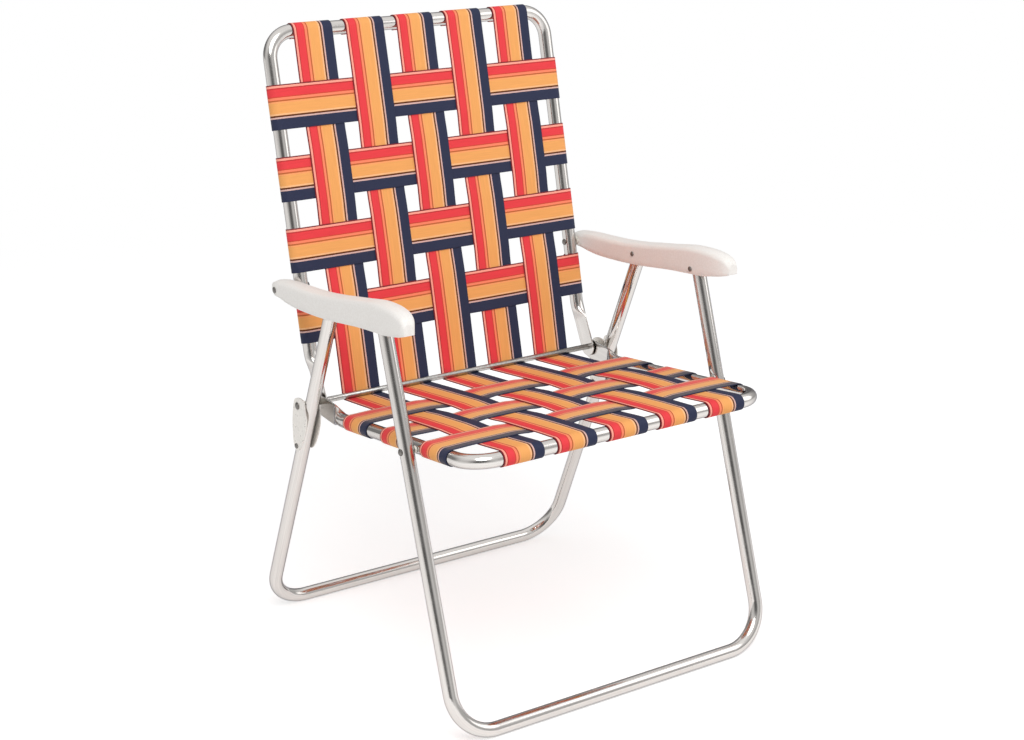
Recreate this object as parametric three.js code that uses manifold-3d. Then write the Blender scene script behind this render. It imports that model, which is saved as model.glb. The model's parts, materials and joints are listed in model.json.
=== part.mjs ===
// Folding webbed lawn chair: four bent aluminium tube frames, woven webbing and moulded armrests.
// Millimetres, +Z up, the sitter faces -Y, and the origin is on the floor in the middle of the footprint.
// The back, armrests, front legs and seat form a parallelogram with its corners at four pivots, so the
// chair folds flat: the back comes down on the seat and both leg frames swing in under it.
import * as THREE from 'three';
import { mergeVertices } from 'three/addons/utils/BufferGeometryUtils.js';
import Module from 'manifold-3d';

const wasm = await Module();
wasm.setup();
const { Vector2, Vector3, Matrix4 } = THREE;

// Tube stock and the steps of its bends
const tubeDiameter = 22.2;
const tubeWall = 1.25;
const tubeSides = 16;
const boreSides = 8;
const cornerSteps = 6;
const kneeSteps = 2;

// Stance: the floor bars' distance apart, and the legs' lean from upright
const footSpread = 586.6;
const footCentre = 2.2;
const frontLegLean = 17.7;
const rearLegLean = 23.25;
const legCornerRadius = 68;
const legTopBeyondPivot = 10;

// Pivots. The seat's is up the front leg from its bar and the armrest's is above that one.
// The hinge is behind the rear leg, and the link's pivot is down that leg from the armrest's.
const seatPivotRun = 430.6;
const armPivotRise = 185.17;
const hingeDrop = 13.5;
const hingeBehindLeg = 20.35;
const armMiddleRise = 0.58;
const linkPivotRun = 275.36;

// Widths: the rails' distance apart, and the lanes of the frames beside each other
const seatSpread = 536.2;
const lugLane = 5.3;
const legRailGap = 4;
const armInset = 0.5;

// Back and seat frames, with the knee as a share of the way from the pivot to the hinge
const frameCornerRadius = 42;
const backLean = 12.4;
const backLength = 396.75;
const backKneeShare = 0.583;
const backKneeRadius = 60;
const seatTilt = 5.9;
const seatKneeShare = 0.754;
const seatKneeRadius = 50;
const seatHoleRise = 4;

// Tube ends pressed flat round the hinge rod, as shares of the run from the knee to the tip
const pressedThickness = 3;
const lugFlatShare = 0.73;
const lugPressShare = 0.25;
const lugEnd = 16;
const pressShares = [0, 0.35, 0.7, 1];
const tipTrimShares = [[1, 1], [0.55, 0.9], [0.2, 0.62], [0, 0.28]];
const flatCornerShare = 0.3;

// Armrests
const armWidth = 33.6;
const armHeight = 36;
const armWall = 2.6;
const armRearOverhang = 14.5;
const armFrontOverhang = 78;
const armEdgeRadius = 8;
const armEdgeSteps = 3;
const armCrown = 1.4;
const armNoseShare = 0.02;
const armEdgeHeightShare = 0.8;

// Armrest outline from its rear tip to its nose, with heights counted from the line through its pivots.
// Each row has the shares of length, height to the top, height to the lower edge and width.
const armOutlineShares = [
  [0, 0.3, 0.1, 0.8],
  [0.012, 0.36, -0.02, 0.93],
  [0.035, 0.41, -0.21, 1],
  [0.08, 0.45, -0.28, 1],
  [0.13, 0.48, -0.38, 1],
  [0.21, 0.51, -0.49, 1],
  [0.35, 0.53, -0.51, 1],
  [0.47, 0.54, -0.45, 1],
  [0.56, 0.59, -0.38, 1],
  [0.68, 0.79, -0.28, 1],
  [0.78, 0.99, -0.24, 1],
  [0.87, 1.05, -0.28, 1],
  [0.93, 1, -0.22, 0.96],
  [0.968, 0.88, -0.12, 0.86],
  [0.99, 0.68, -0.03, 0.7],
  [1, 0.38, 0.05, 0.5],
];

// Folding links: a plate on each face of a rear leg. Its outline goes once round, and each point has
// the shares of the distance between its pivots to the front of their line and down it from the hinge.
const linkThickness = 1.8;
const linkLegGap = 0.4;
const linkOutlineSteps = 36;
const linkHoleSteps = 6;
const linkOutlineShares = [
  [-0.17, -0.06],
  [-0.05, -0.18],
  [0.14, -0.235],
  [0.31, -0.2],
  [0.37, -0.04],
  [0.435, 0.19],
  [0.42, 0.41],
  [0.31, 0.75],
  [0.18, 0.99],
  [0.02, 1.11],
  [-0.13, 0.98],
  [-0.19, 0.7],
  [-0.215, 0.36],
];

// Hinge rod, rivets and spacers
const rodDiameter = 9.5;
const pinDiameter = 6.2;
const headDiameter = 10.5;
const rodHeadDiameter = 12;
const linkHeadDiameter = 8.6;
const headHeight = 2.1;
const lowHeadHeight = 1.2;
const headCrownShare = 0.6;
const headEdgeShare = 0.45;
const spacerDiameter = 11;
const washerDiameter = 14;
const pinSides = 12;

// Webbing: straps, the room they leave beside rails, corners, pivots and knees, and how far an end
// goes round a tube or the hinge rod
const strapWidth = 70;
const strapThickness = 1.3;
const longCount = 5;
const railStrapGap = 39.8;
const backCrossCount = 4;
const backCornerStrapGap = 39;
const seatCrossCount = 3;
const seatCornerStrapGap = 10;
const pivotStrapGap = 12.3;
const kneeStrapGap = 19.3;
const weaveEase = 1;
const wrapAngle = 255;
const wrapSteps = 11;
const creaseAngle = 26;
const creaseSteps = 2;

// Clearances, and how far a cutter runs past what it cuts
const runningGap = 0.3;
const weaveGap = 0.35;
const cutOverrun = 5;
const weldTolerance = 1e-4;

// Materials
const brightTube = { color: 0xc8c8c5, roughness: 0.3, metalness: 1 };
const dullSteel = { color: 0x8f8e8b, roughness: 0.45, metalness: 1 };
const paleMoulding = { color: 0xe7e2d8, roughness: 0.5, metalness: 0 };
const whiteNylon = { color: 0xdedcd4, roughness: 0.6, metalness: 0 };
const wovenBand = { color: 0xdf6a3f, roughness: 0.75, metalness: 0 };

const chair = new THREE.Group();
const radians = THREE.MathUtils.degToRad;
const mix = THREE.MathUtils.lerp;
const half = (value) => value / 2;

// Solids

// Six times the volume that a skin encloses, negative where its faces point inwards
function signedVolume(positions, faces) {
  const corner = (index) => new Vector3().fromArray(positions, 3 * index);
  let volume = 0;
  for (let face = 0; face < faces.length; face += 3) {
    const [first, second, third] = faces.slice(face, face + 3).map(corner);
    volume += first.dot(second.cross(third));
  }
  return volume;
}

// A solid with its faces outwards, without the slivers that a turned shape has on its axis
function toSolid(geometry) {
  const bare = geometry.index ? geometry.toNonIndexed() : geometry.clone();
  for (const name of Object.keys(bare.attributes)) {
    if (name !== 'position') bare.deleteAttribute(name);
  }
  const merged = mergeVertices(bare, weldTolerance);
  const positions = Array.from(merged.attributes.position.array);
  const corners = Array.from(merged.index.array);
  const faces = [];
  for (let face = 0; face < corners.length; face += 3) {
    const triangle = corners.slice(face, face + 3);
    if (new Set(triangle).size === 3) faces.push(...triangle);
  }
  if (signedVolume(positions, faces) < 0) faces.reverse();
  return new wasm.Manifold(new wasm.Mesh({
    numProp: 3,
    vertProperties: new Float32Array(positions),
    triVerts: new Uint32Array(faces),
  }));
}

function toGeometry(solid) {
  const mesh = solid.getMesh();
  const geometry = new THREE.BufferGeometry();
  geometry.setAttribute('position', new THREE.BufferAttribute(new Float32Array(mesh.vertProperties), 3));
  geometry.setIndex(new THREE.BufferAttribute(new Uint32Array(mesh.triVerts), 1));
  geometry.computeVertexNormals();
  return geometry;
}

function cutAway(body, cutters) {
  let solid = toSolid(body);
  for (const cutter of cutters) solid = solid.subtract(toSolid(cutter));
  return toGeometry(solid);
}

function addPart(name, geometry, finish) {
  const mesh = new THREE.Mesh(toGeometry(toSolid(geometry)), new THREE.MeshStandardMaterial(finish));
  mesh.name = name;
  chair.add(mesh);
}

// A part for each side of the chair, modelled on the +X side
function addPair(name, geometry, finish) {
  addPart(`${name}_right`, geometry, finish);
  addPart(`${name}_left`, geometry.clone().scale(-1, 1, 1), finish);
}

// A closed skin over rings of points, each ring the outline of one cross-section
function loft(rings) {
  const count = rings[0].length;
  const positions = rings.flat().flatMap((point) => [point.x, point.y, point.z]);
  const faces = [];
  for (let ring = 0; ring + 1 < rings.length; ring += 1) {
    for (let side = 0; side < count; side += 1) {
      const next = (side + 1) % count;
      const near = ring * count;
      const far = near + count;
      faces.push(near + side, near + next, far + next, near + side, far + next, far + side);
    }
  }
  const last = (rings.length - 1) * count;
  for (let side = 1; side + 1 < count; side += 1) {
    faces.push(0, side + 1, side, last, last + side, last + side + 1);
  }
  const geometry = new THREE.BufferGeometry();
  geometry.setAttribute('position', new THREE.Float32BufferAttribute(positions, 3));
  geometry.setIndex(faces);
  return geometry;
}

// A turned solid on an axis along X through a pivot, from a profile of radius and place along X
function turned(pivot, profile) {
  const points = profile.map(([radius, along]) => new Vector2(radius, along));
  const geometry = new THREE.LatheGeometry(points, pinSides);
  geometry.rotateZ(-half(Math.PI));
  geometry.translate(0, pivot.y, pivot.z);
  return geometry;
}

// Pivots are places in the side view, the Y-Z plane

const across = new Vector3(1, 0, 0);
const upright = new Vector3(0, 0, 1);
const sidePoint = (y, z) => new Vector3(0, y, z);
const leanUp = (degrees) => sidePoint(Math.sin(radians(degrees)), Math.cos(radians(degrees)));
const tubeRadius = half(tubeDiameter);
const barHeight = tubeRadius * Math.cos(Math.PI / tubeSides);
const frontFoot = sidePoint(footCentre - half(footSpread), barHeight);
const rearFoot = sidePoint(footCentre + half(footSpread), barHeight);
const frontLegUp = leanUp(frontLegLean);
const rearLegUp = leanUp(-rearLegLean);

const seatPivot = frontFoot.clone().addScaledVector(frontLegUp, seatPivotRun);
const armFrontPivot = seatPivot.clone().addScaledVector(frontLegUp, armPivotRise);
const hingeHeight = seatPivot.z - hingeDrop;
const hinge = rearFoot.clone()
  .addScaledVector(rearLegUp, (hingeHeight - barHeight) / rearLegUp.z)
  .add(sidePoint(hingeBehindLeg / rearLegUp.z, 0));
const armRearPivot = hinge.clone().add(armFrontPivot).sub(seatPivot);

// The rear leg meets the armrest where it crosses the line through the armrest's other two pivots
const armLine = armFrontPivot.clone().sub(armRearPivot).normalize();
const armNormal = new Vector3().crossVectors(armLine, across);
const armReach = armRearPivot.clone().sub(rearFoot).dot(armNormal) + armMiddleRise;
const armMiddlePivot = rearFoot.clone().addScaledVector(rearLegUp, armReach / rearLegUp.dot(armNormal));
const linkPivot = armMiddlePivot.clone().addScaledVector(rearLegUp, -linkPivotRun);

// Faces of the parts beside each other at the pivots, as distances from the middle of the chair
const backSpread = seatSpread - 2 * lugLane;
const legSpread = seatSpread + 2 * (tubeDiameter + legRailGap);
const armCentreSpread = legSpread - 2 * armInset;
const legInner = half(legSpread) - tubeRadius;
const legOuter = half(legSpread) + tubeRadius;
const seatRailInner = half(seatSpread) - tubeRadius;
const seatRailOuter = half(seatSpread) + tubeRadius;
const backRailInner = half(backSpread) - tubeRadius;
const backRailOuter = half(backSpread) + tubeRadius;
const backLugInner = half(backSpread) - half(pressedThickness);
const backLugOuter = half(backSpread) + half(pressedThickness);
const seatLugInner = half(seatSpread) - half(pressedThickness);
const seatLugOuter = half(seatSpread) + half(pressedThickness);
const armInner = half(armCentreSpread) - half(armWidth);
const armOuter = half(armCentreSpread) + half(armWidth);
const innerLinkStart = legInner - linkLegGap - linkThickness;
const outerLinkStart = legOuter + linkLegGap;

// Bent tubes: half of each U is a bender's programme, and the other half is its mirror image

function startPose(origin, heading, up) {
  return { origin: origin.clone(), heading: heading.clone(), up: up.clone() };
}

function feed(pose, length) {
  return { ...pose, origin: pose.origin.clone().addScaledVector(pose.heading, length) };
}

function turn(pose, angle, radius, axis, steps) {
  const towards = new Vector3().crossVectors(axis, pose.heading);
  const centre = pose.origin.clone().addScaledVector(towards, radius);
  return Array.from({ length: steps }, (_, step) => {
    const swing = angle * (step + 1) / steps;
    const rotate = (vector) => vector.clone().applyAxisAngle(axis, swing);
    return {
      origin: rotate(pose.origin.clone().sub(centre)).add(centre),
      heading: rotate(pose.heading),
      up: rotate(pose.up),
    };
  });
}

// The outline of a tube at one pose: pressed is 0 where it is round and 1 where it is flat
const pressedWidth = Math.PI * half(tubeDiameter - tubeWall) + tubeWall;

function tubeSection(pose, { radius, sides, phase = 0, pressed = 0, trim = 1, thickness = 0 }) {
  const wide = trim * mix(radius, half(pressedWidth) - (tubeRadius - radius), pressed);
  const thin = mix(radius, half(thickness), pressed);
  const squareness = mix(1, flatCornerShare, pressed);
  const side = new Vector3().crossVectors(pose.up, pose.heading);
  const squared = (value) => Math.sign(value) * Math.abs(value) ** squareness;
  return Array.from({ length: sides }, (_, index) => {
    const angle = 2 * Math.PI * (index + 0.5) / sides + phase;
    return pose.origin.clone()
      .addScaledVector(side, thin * squared(Math.cos(angle)))
      .addScaledVector(pose.up, wide * squared(Math.sin(angle)));
  });
}

// Rings from the left end round to the right end
function bothHalves(stations, ringOf) {
  const right = stations.map(ringOf);
  const left = right.map((ring) => ring.map((point) => new Vector3(-point.x, point.y, point.z)));
  return loft([...left.reverse(), ...right]);
}

function pinHole(place, fromX, toX) {
  const radius = half(pinDiameter) + runningGap;
  const hole = new THREE.CylinderGeometry(radius, radius, toX - fromX, pinSides);
  hole.rotateZ(half(Math.PI));
  hole.translate(half(fromX + toX), place.y, place.z);
  return hole;
}

function tubeHoles(places, spread) {
  const near = half(spread) - tubeRadius - cutOverrun;
  const far = half(spread) + tubeRadius + cutOverrun;
  return places.flatMap((place) => [pinHole(place, near, far), pinHole(place, -far, -near)]);
}

// A leg frame: a floor bar, two round corners and two legs with open tops.
// Its facets are turned by the lean, so that one lies flat on the floor.
function legFrame(foot, lean, topPivot, pivots) {
  const normal = new Vector3().crossVectors(across, leanUp(lean));
  const phase = radians(lean);
  const corner = feed(startPose(foot, across, normal), half(legSpread) - legCornerRadius);
  const bend = turn(corner, half(Math.PI), legCornerRadius, normal, cornerSteps);
  const legRun = foot.distanceTo(topPivot) + legTopBeyondPivot - legCornerRadius;
  const top = feed(bend.at(-1), legRun);
  const outside = bothHalves([corner, ...bend, top], (pose) => (
    tubeSection(pose, { radius: tubeRadius, sides: tubeSides, phase })
  ));
  const bore = bothHalves([corner, ...bend, feed(top, cutOverrun)], (pose) => (
    tubeSection(pose, { radius: tubeRadius - tubeWall, sides: boreSides, phase })
  ));
  return cutAway(outside, [bore, ...tubeHoles(pivots, legSpread)]);
}

// A body frame: a cross bar, two round corners, two rails with a slight knee, and two pressed ends
function bodyFrame({ barCentre, towardsHinge, normal, spread, kneeRun, kneeRadius, lugAim, pivots }) {
  const corner = feed(startPose(barCentre, across, normal), half(spread) - frameCornerRadius);
  const inward = new Vector3().crossVectors(across, towardsHinge);
  const bend = turn(corner, half(Math.PI), frameCornerRadius, inward, cornerSteps);
  const knee = barCentre.clone().addScaledVector(towardsHinge, kneeRun);
  const lugHeading = lugAim.clone().sub(knee).normalize();
  const kneeAxis = new Vector3().crossVectors(towardsHinge, lugHeading).normalize();
  const kneeAngle = towardsHinge.angleTo(lugHeading);
  const tangent = kneeRadius * Math.tan(half(kneeAngle));
  const beforeKnee = feed(bend.at(-1), kneeRun - frameCornerRadius - tangent);
  const kneeBend = turn(beforeKnee, kneeAngle, kneeRadius, kneeAxis, kneeSteps);
  const lugRun = knee.distanceTo(lugAim) - tangent + lugEnd;
  const lugPose = (back) => feed(kneeBend.at(-1), lugRun - back);
  const tube = [corner, ...bend, beforeKnee, ...kneeBend].map((pose) => ({ pose }));
  const press = pressShares.map((pressed) => ({
    pose: lugPose(lugRun * (lugFlatShare + lugPressShare * (1 - pressed))),
    pressed,
  }));
  const tip = tipTrimShares.map(([back, trim]) => ({ pose: lugPose(back * lugEnd), pressed: 1, trim }));
  const outside = bothHalves([...tube, ...press, ...tip], ({ pose, ...shape }) => (
    tubeSection(pose, { radius: tubeRadius, sides: tubeSides, thickness: pressedThickness, ...shape })
  ));
  const slit = pressedThickness - 2 * tubeWall;
  const bore = bothHalves([...tube, ...press], ({ pose, ...shape }) => (
    tubeSection(pose, { radius: tubeRadius - tubeWall, sides: boreSides, thickness: slit, ...shape })
  ));
  return cutAway(outside, [bore, ...tubeHoles(pivots, spread)]);
}

addPart('front_leg_frame', legFrame(frontFoot, frontLegLean, armFrontPivot,
  [seatPivot, armFrontPivot]), brightTube);
addPart('rear_leg_frame', legFrame(rearFoot, -rearLegLean, armMiddlePivot,
  [linkPivot, armMiddlePivot]), brightTube);

// Each panel has its bar, its two directions and the places of its cross straps down from the bar.
// The armrest's pivot is midway between the back's last two rows, the leg's behind the seat's first.

const rows = (first, pitch, count) => Array.from({ length: count }, (_, row) => first + row * pitch);

const backUp = leanUp(backLean);
const backFirst = frameCornerRadius + backCornerStrapGap + half(strapWidth);
const back = {
  name: 'back',
  bar: armRearPivot.clone().addScaledVector(backUp, backLength),
  along: backUp.clone().negate(),
  normal: new Vector3().crossVectors(across, backUp),
  spread: backSpread,
  kneeRun: backLength + backKneeShare * armRearPivot.distanceTo(hinge),
  crossPlaces: rows(backFirst, (backLength - backFirst) / (backCrossCount - 1.5), backCrossCount),
  firstOver: 0,
};

const seatUp = leanUp(seatTilt);
const seatRearward = new Vector3().crossVectors(seatUp, across);
const seatFirst = frameCornerRadius + seatCornerStrapGap + half(strapWidth);
const seatPivotSetback = seatFirst + half(strapWidth) + pivotStrapGap;
const seatKneeRun = seatPivotSetback + seatKneeShare * seatPivot.distanceTo(hinge);
const seatLast = seatKneeRun - kneeStrapGap - half(strapWidth);
const seat = {
  name: 'seat',
  bar: seatPivot.clone().addScaledVector(seatRearward, -seatPivotSetback),
  along: seatRearward,
  normal: seatUp,
  spread: seatSpread,
  kneeRun: seatKneeRun,
  crossPlaces: rows(seatFirst, (seatLast - seatFirst) / (seatCrossCount - 1), seatCrossCount),
  firstOver: (seatCrossCount - 1) % 2,
};

addPart('back_frame', bodyFrame({
  barCentre: back.bar,
  towardsHinge: back.along,
  normal: back.normal,
  spread: backSpread,
  kneeRun: back.kneeRun,
  kneeRadius: backKneeRadius,
  lugAim: hinge,
  pivots: [armRearPivot, hinge],
}), brightTube);
addPart('seat_frame', bodyFrame({
  barCentre: seat.bar,
  towardsHinge: seat.along,
  normal: seat.normal,
  spread: seatSpread,
  kneeRun: seat.kneeRun,
  kneeRadius: seatKneeRadius,
  lugAim: hinge.clone().addScaledVector(upright, -seatHoleRise),
  pivots: [seatPivot, hinge],
}), brightTube);

// Armrests: moulded channels, open below, that take the leg tops between their skirts

const armRear = armRearPivot.y + armRearOverhang;
const armFront = armFrontPivot.y - armFrontOverhang;
const armSlope = (armFrontPivot.z - armRearPivot.z) / (armFrontPivot.y - armRearPivot.y);

function armOutline(share) {
  const next = Math.max(1, armOutlineShares.findIndex(([along]) => along >= share));
  const [before, after] = armOutlineShares.slice(next - 1, next + 1);
  const part = (share - before[0]) / (after[0] - before[0]);
  return before.map((value, column) => mix(value, after[column], part));
}

function armSection(share, inset, drop) {
  const [, topShare, lowerShare, widthShare] = armOutline(share);
  const y = mix(armRear, armFront, share);
  const pivotLine = armRearPivot.z + armSlope * (y - armRearPivot.y);
  const top = pivotLine + topShare * armHeight - inset;
  const lower = pivotLine + lowerShare * armHeight - drop;
  const reach = half(armWidth) * widthShare - inset;
  const edge = Math.min(armEdgeRadius - inset, armEdgeHeightShare * (top - lower));
  const side = [[reach, lower]];
  for (let step = 0; step <= armEdgeSteps; step += 1) {
    const angle = half(Math.PI) * step / armEdgeSteps;
    side.push([reach - edge * (1 - Math.cos(angle)), top - edge * (1 - Math.sin(angle))]);
  }
  const otherSide = side.map(([x, z]) => [-x, z]).reverse();
  return [...side, [0, top + armCrown], ...otherSide].map(([x, z]) => (
    new Vector3(half(armCentreSpread) + x, y, z)
  ));
}

const armSkin = loft(armOutlineShares.map(([share]) => armSection(share, 0, 0)));
const armCavity = loft(armOutlineShares.map(([share]) => (
  armSection(THREE.MathUtils.clamp(share, armNoseShare, 1 - armNoseShare), armWall, cutOverrun)
)).filter((ring, index, rings) => index === 0 || ring[0].y !== rings[index - 1][0].y));
const armHoles = [
  pinHole(armRearPivot, armInner - cutOverrun, armOuter + cutOverrun),
  pinHole(armMiddlePivot, armInner - cutOverrun, half(armCentreSpread)),
  pinHole(armFrontPivot, armInner - cutOverrun, half(armCentreSpread)),
];
addPair('armrest', cutAway(armSkin, [armCavity, ...armHoles]), paleMoulding);

// Folding links

function linkPlate(startX) {
  const along = linkPivot.clone().sub(hinge).normalize();
  const frontward = new Vector3().crossVectors(along, across);
  const length = linkPivot.distanceTo(hinge);
  const corners = linkOutlineShares.map(([front, down]) => new Vector3(front * length, down * length));
  const edge = new THREE.CatmullRomCurve3(corners, true);
  const shape = new THREE.Shape(edge.getPoints(linkOutlineSteps).slice(1));
  for (const place of [0, length]) {
    shape.holes.push(new THREE.Path().absarc(0, place, half(pinDiameter) + runningGap, 0, 2 * Math.PI));
  }
  const plate = new THREE.ExtrudeGeometry(shape, {
    depth: linkThickness, bevelEnabled: false, curveSegments: linkHoleSteps,
  });
  plate.applyMatrix4(new Matrix4().makeBasis(frontward, along, across));
  plate.translate(startX, hinge.y, hinge.z);
  return plate;
}

addPair('link_plate_inner', linkPlate(innerLinkStart), dullSteel);
addPair('link_plate_outer', linkPlate(outerLinkStart), dullSteel);

// Rivets, spacers and the hinge rod: a head is a low dome set on the face at `start`

const headProfile = (start, height, diameter = headDiameter) => [
  [half(diameter), start],
  [half(diameter), start + headEdgeShare * height],
  [headCrownShare * half(diameter), start + height],
  [0, start + height],
];

function rivet(pivot, innerFace, outerFace) {
  const from = innerFace - runningGap;
  const to = outerFace + runningGap;
  return turned(pivot, [
    ...headProfile(from, -headHeight).reverse(),
    [half(pinDiameter), from],
    [half(pinDiameter), to],
    ...headProfile(to, headHeight),
  ]);
}

// A rivet headed at one end only, on the face at `headFace`
function stud(pivot, shankEnd, headFace, height, diameter = headDiameter) {
  const to = headFace + Math.sign(height) * runningGap;
  return turned(pivot, [
    [0, shankEnd],
    [half(pinDiameter), shankEnd],
    [half(pinDiameter), to],
    ...headProfile(to, height, diameter),
  ]);
}

function spacer(pivot, innerFace, outerFace, diameter) {
  const from = innerFace + runningGap;
  const to = outerFace - runningGap;
  const bore = half(pinDiameter) + runningGap;
  const outside = half(diameter);
  return turned(pivot, [[bore, from], [outside, from], [outside, to], [bore, to], [bore, from]]);
}

const rodEnd = outerLinkStart + linkThickness + runningGap;
const rodShoulder = backLugInner - runningGap;
const rodHalf = [
  [half(rodDiameter), rodShoulder],
  [half(pinDiameter), rodShoulder],
  [half(pinDiameter), rodEnd],
  ...headProfile(rodEnd, headHeight, rodHeadDiameter),
];
addPart('hinge_rod', turned(hinge, [
  ...rodHalf.map(([radius, along]) => [radius, -along]).reverse(),
  ...rodHalf,
]), dullSteel);

addPair('arm_rear_rivet', rivet(armRearPivot, backRailInner, armOuter), dullSteel);
addPair('seat_leg_rivet', rivet(seatPivot, seatRailInner, legOuter), dullSteel);

// The leg tops' rivets end inside the armrest's channel, behind its outer skirt
const blindEnd = half(legOuter + armOuter - armWall);
addPair('arm_middle_rivet', stud(armMiddlePivot, blindEnd, armInner, -headHeight), dullSteel);
addPair('arm_front_rivet', stud(armFrontPivot, blindEnd, armInner, -headHeight), dullSteel);

const outerLinkFace = outerLinkStart + linkThickness;
const innerLinkFace = innerLinkStart + linkThickness;
addPair('link_stud_outer', stud(linkPivot, outerLinkStart, outerLinkFace, headHeight, linkHeadDiameter),
  dullSteel);
addPair('link_stud_inner', stud(linkPivot, innerLinkFace, innerLinkStart, -lowHeadHeight, linkHeadDiameter),
  dullSteel);

addPair('arm_rear_washer', spacer(armRearPivot, backRailOuter, armInner, washerDiameter), whiteNylon);
addPair('seat_leg_collar', spacer(seatPivot, seatRailOuter, legInner, spacerDiameter), whiteNylon);
addPair('hinge_washer', spacer(hinge, backLugOuter, seatLugInner, washerDiameter), whiteNylon);
addPair('hinge_sleeve_inner', spacer(hinge, seatLugOuter, innerLinkStart, spacerDiameter), whiteNylon);
addPair('hinge_sleeve_outer', spacer(hinge, innerLinkFace, outerLinkStart, spacerDiameter), whiteNylon);

// Webbing: a strap is a line in its panel's section, with a distance along the panel and a rise off the
// rails' centre line, that is given its thickness there and its width across

const arcRadius = (core, step) => (core + runningGap) / Math.cos(half(step)) + half(strapThickness);
const wrapStep = radians(wrapAngle) / wrapSteps;
const wrapRadius = arcRadius(tubeRadius, wrapStep);
const creaseStep = radians(creaseAngle) / creaseSteps;
const creaseRadius = arcRadius(half(rodDiameter), creaseStep);
const weaveRise = half(strapThickness + weaveGap);

// The turns round a tube, from the strap's own end to where it leaves the tube towards +1 or -1
function wrap(centre, side) {
  return Array.from({ length: wrapSteps + 1 }, (_, step) => {
    const angle = wrapStep * (wrapSteps - step);
    return new Vector2(centre - side * wrapRadius * Math.sin(angle), wrapRadius * Math.cos(angle));
  });
}

// Level stretches over (+1) or under (-1) each strap that is crossed
function weave(crossings) {
  const reach = half(strapWidth) + weaveEase;
  return crossings.flatMap(({ at, level }) => (
    [at - reach, at + reach].map((along) => new Vector2(along, wrapRadius + level * weaveRise))
  ));
}

// The crease behind the hinge rod: straight to the rod, then part of the way round it
function crease(last, centre) {
  const reach = centre.clone().sub(last);
  const swing = Math.asin(creaseRadius / reach.length());
  const run = Math.sqrt(reach.lengthSq() - creaseRadius ** 2);
  const touch = reach.clone().setLength(run).rotateAround(new Vector2(), -swing).add(last);
  return Array.from({ length: creaseSteps + 1 }, (_, step) => (
    touch.clone().rotateAround(centre, creaseStep * step)
  ));
}

function strap(line, start, run, normal) {
  const headings = line.map((point, index) => {
    const heading = new Vector2();
    if (index > 0) heading.add(point.clone().sub(line[index - 1]).normalize());
    if (index + 1 < line.length) heading.add(line[index + 1].clone().sub(point).normalize());
    return heading.normalize();
  });
  const face = (side) => line.map((point, index) => new Vector2(
    point.x - side * half(strapThickness) * headings[index].y,
    point.y + side * half(strapThickness) * headings[index].x,
  ));
  const shape = new THREE.Shape([...face(1), ...face(-1).reverse()]);
  const geometry = new THREE.ExtrudeGeometry(shape, { depth: strapWidth, bevelEnabled: false });
  geometry.translate(0, 0, -half(strapWidth));
  const sideways = new Vector3().crossVectors(run, normal);
  geometry.applyMatrix4(new Matrix4().makeBasis(run, normal, sideways).setPosition(start));
  return geometry;
}

const outerLong = half(backSpread) - railStrapGap - half(strapWidth);
const longPlaces = rows(-outerLong, 2 * outerLong / (longCount - 1), longCount);

function addWebbing({ name, bar, along, normal, spread, crossPlaces, firstOver }) {
  const hingeOffset = hinge.clone().sub(bar);
  const rod = new Vector2(hingeOffset.dot(along), hingeOffset.dot(normal));
  const crossLevel = (column, row) => ((column + row + firstOver) % 2 === 0 ? 1 : -1);
  longPlaces.forEach((place, column) => {
    const woven = weave(crossPlaces.map((at, index) => ({ at, level: -crossLevel(column, index) })));
    const line = [...wrap(0, 1), ...woven, ...crease(woven.at(-1), rod)];
    const start = bar.clone().addScaledVector(across, place);
    addPart(`${name}_long_strap_${column + 1}`, strap(line, start, along, normal), wovenBand);
  });
  crossPlaces.forEach((at, index) => {
    const woven = weave(longPlaces.map((place, column) => (
      { at: place + half(spread), level: crossLevel(column, index) }
    )));
    const line = [...wrap(0, 1), ...woven, ...wrap(spread, -1).reverse()];
    const start = bar.clone().addScaledVector(along, at).addScaledVector(across, -half(spread));
    addPart(`${name}_cross_strap_${index + 1}`, strap(line, start, across, normal), wovenBand);
  });
}

addWebbing(back);
addWebbing(seat);

export default chair;
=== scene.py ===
# %% [markdown]
# # A folding webbed lawn chair
# The chair is four bent aluminium tubes, a lattice of woven straps, two moulded armrests and the
# links and rivets that let it fold flat. A CAD model, loaded here as a frame that never moves, says
# where every pivot, rail and strap is. This lesson dresses that frame: each visible piece is made
# again with smooth surfaces and gets a finish built from shader nodes, and all but the long straps
# ride on the CAD body that carries them.

# %% Load the frame
import json
import math

import bmesh
import bpy
from mathutils import Matrix, Vector


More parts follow.
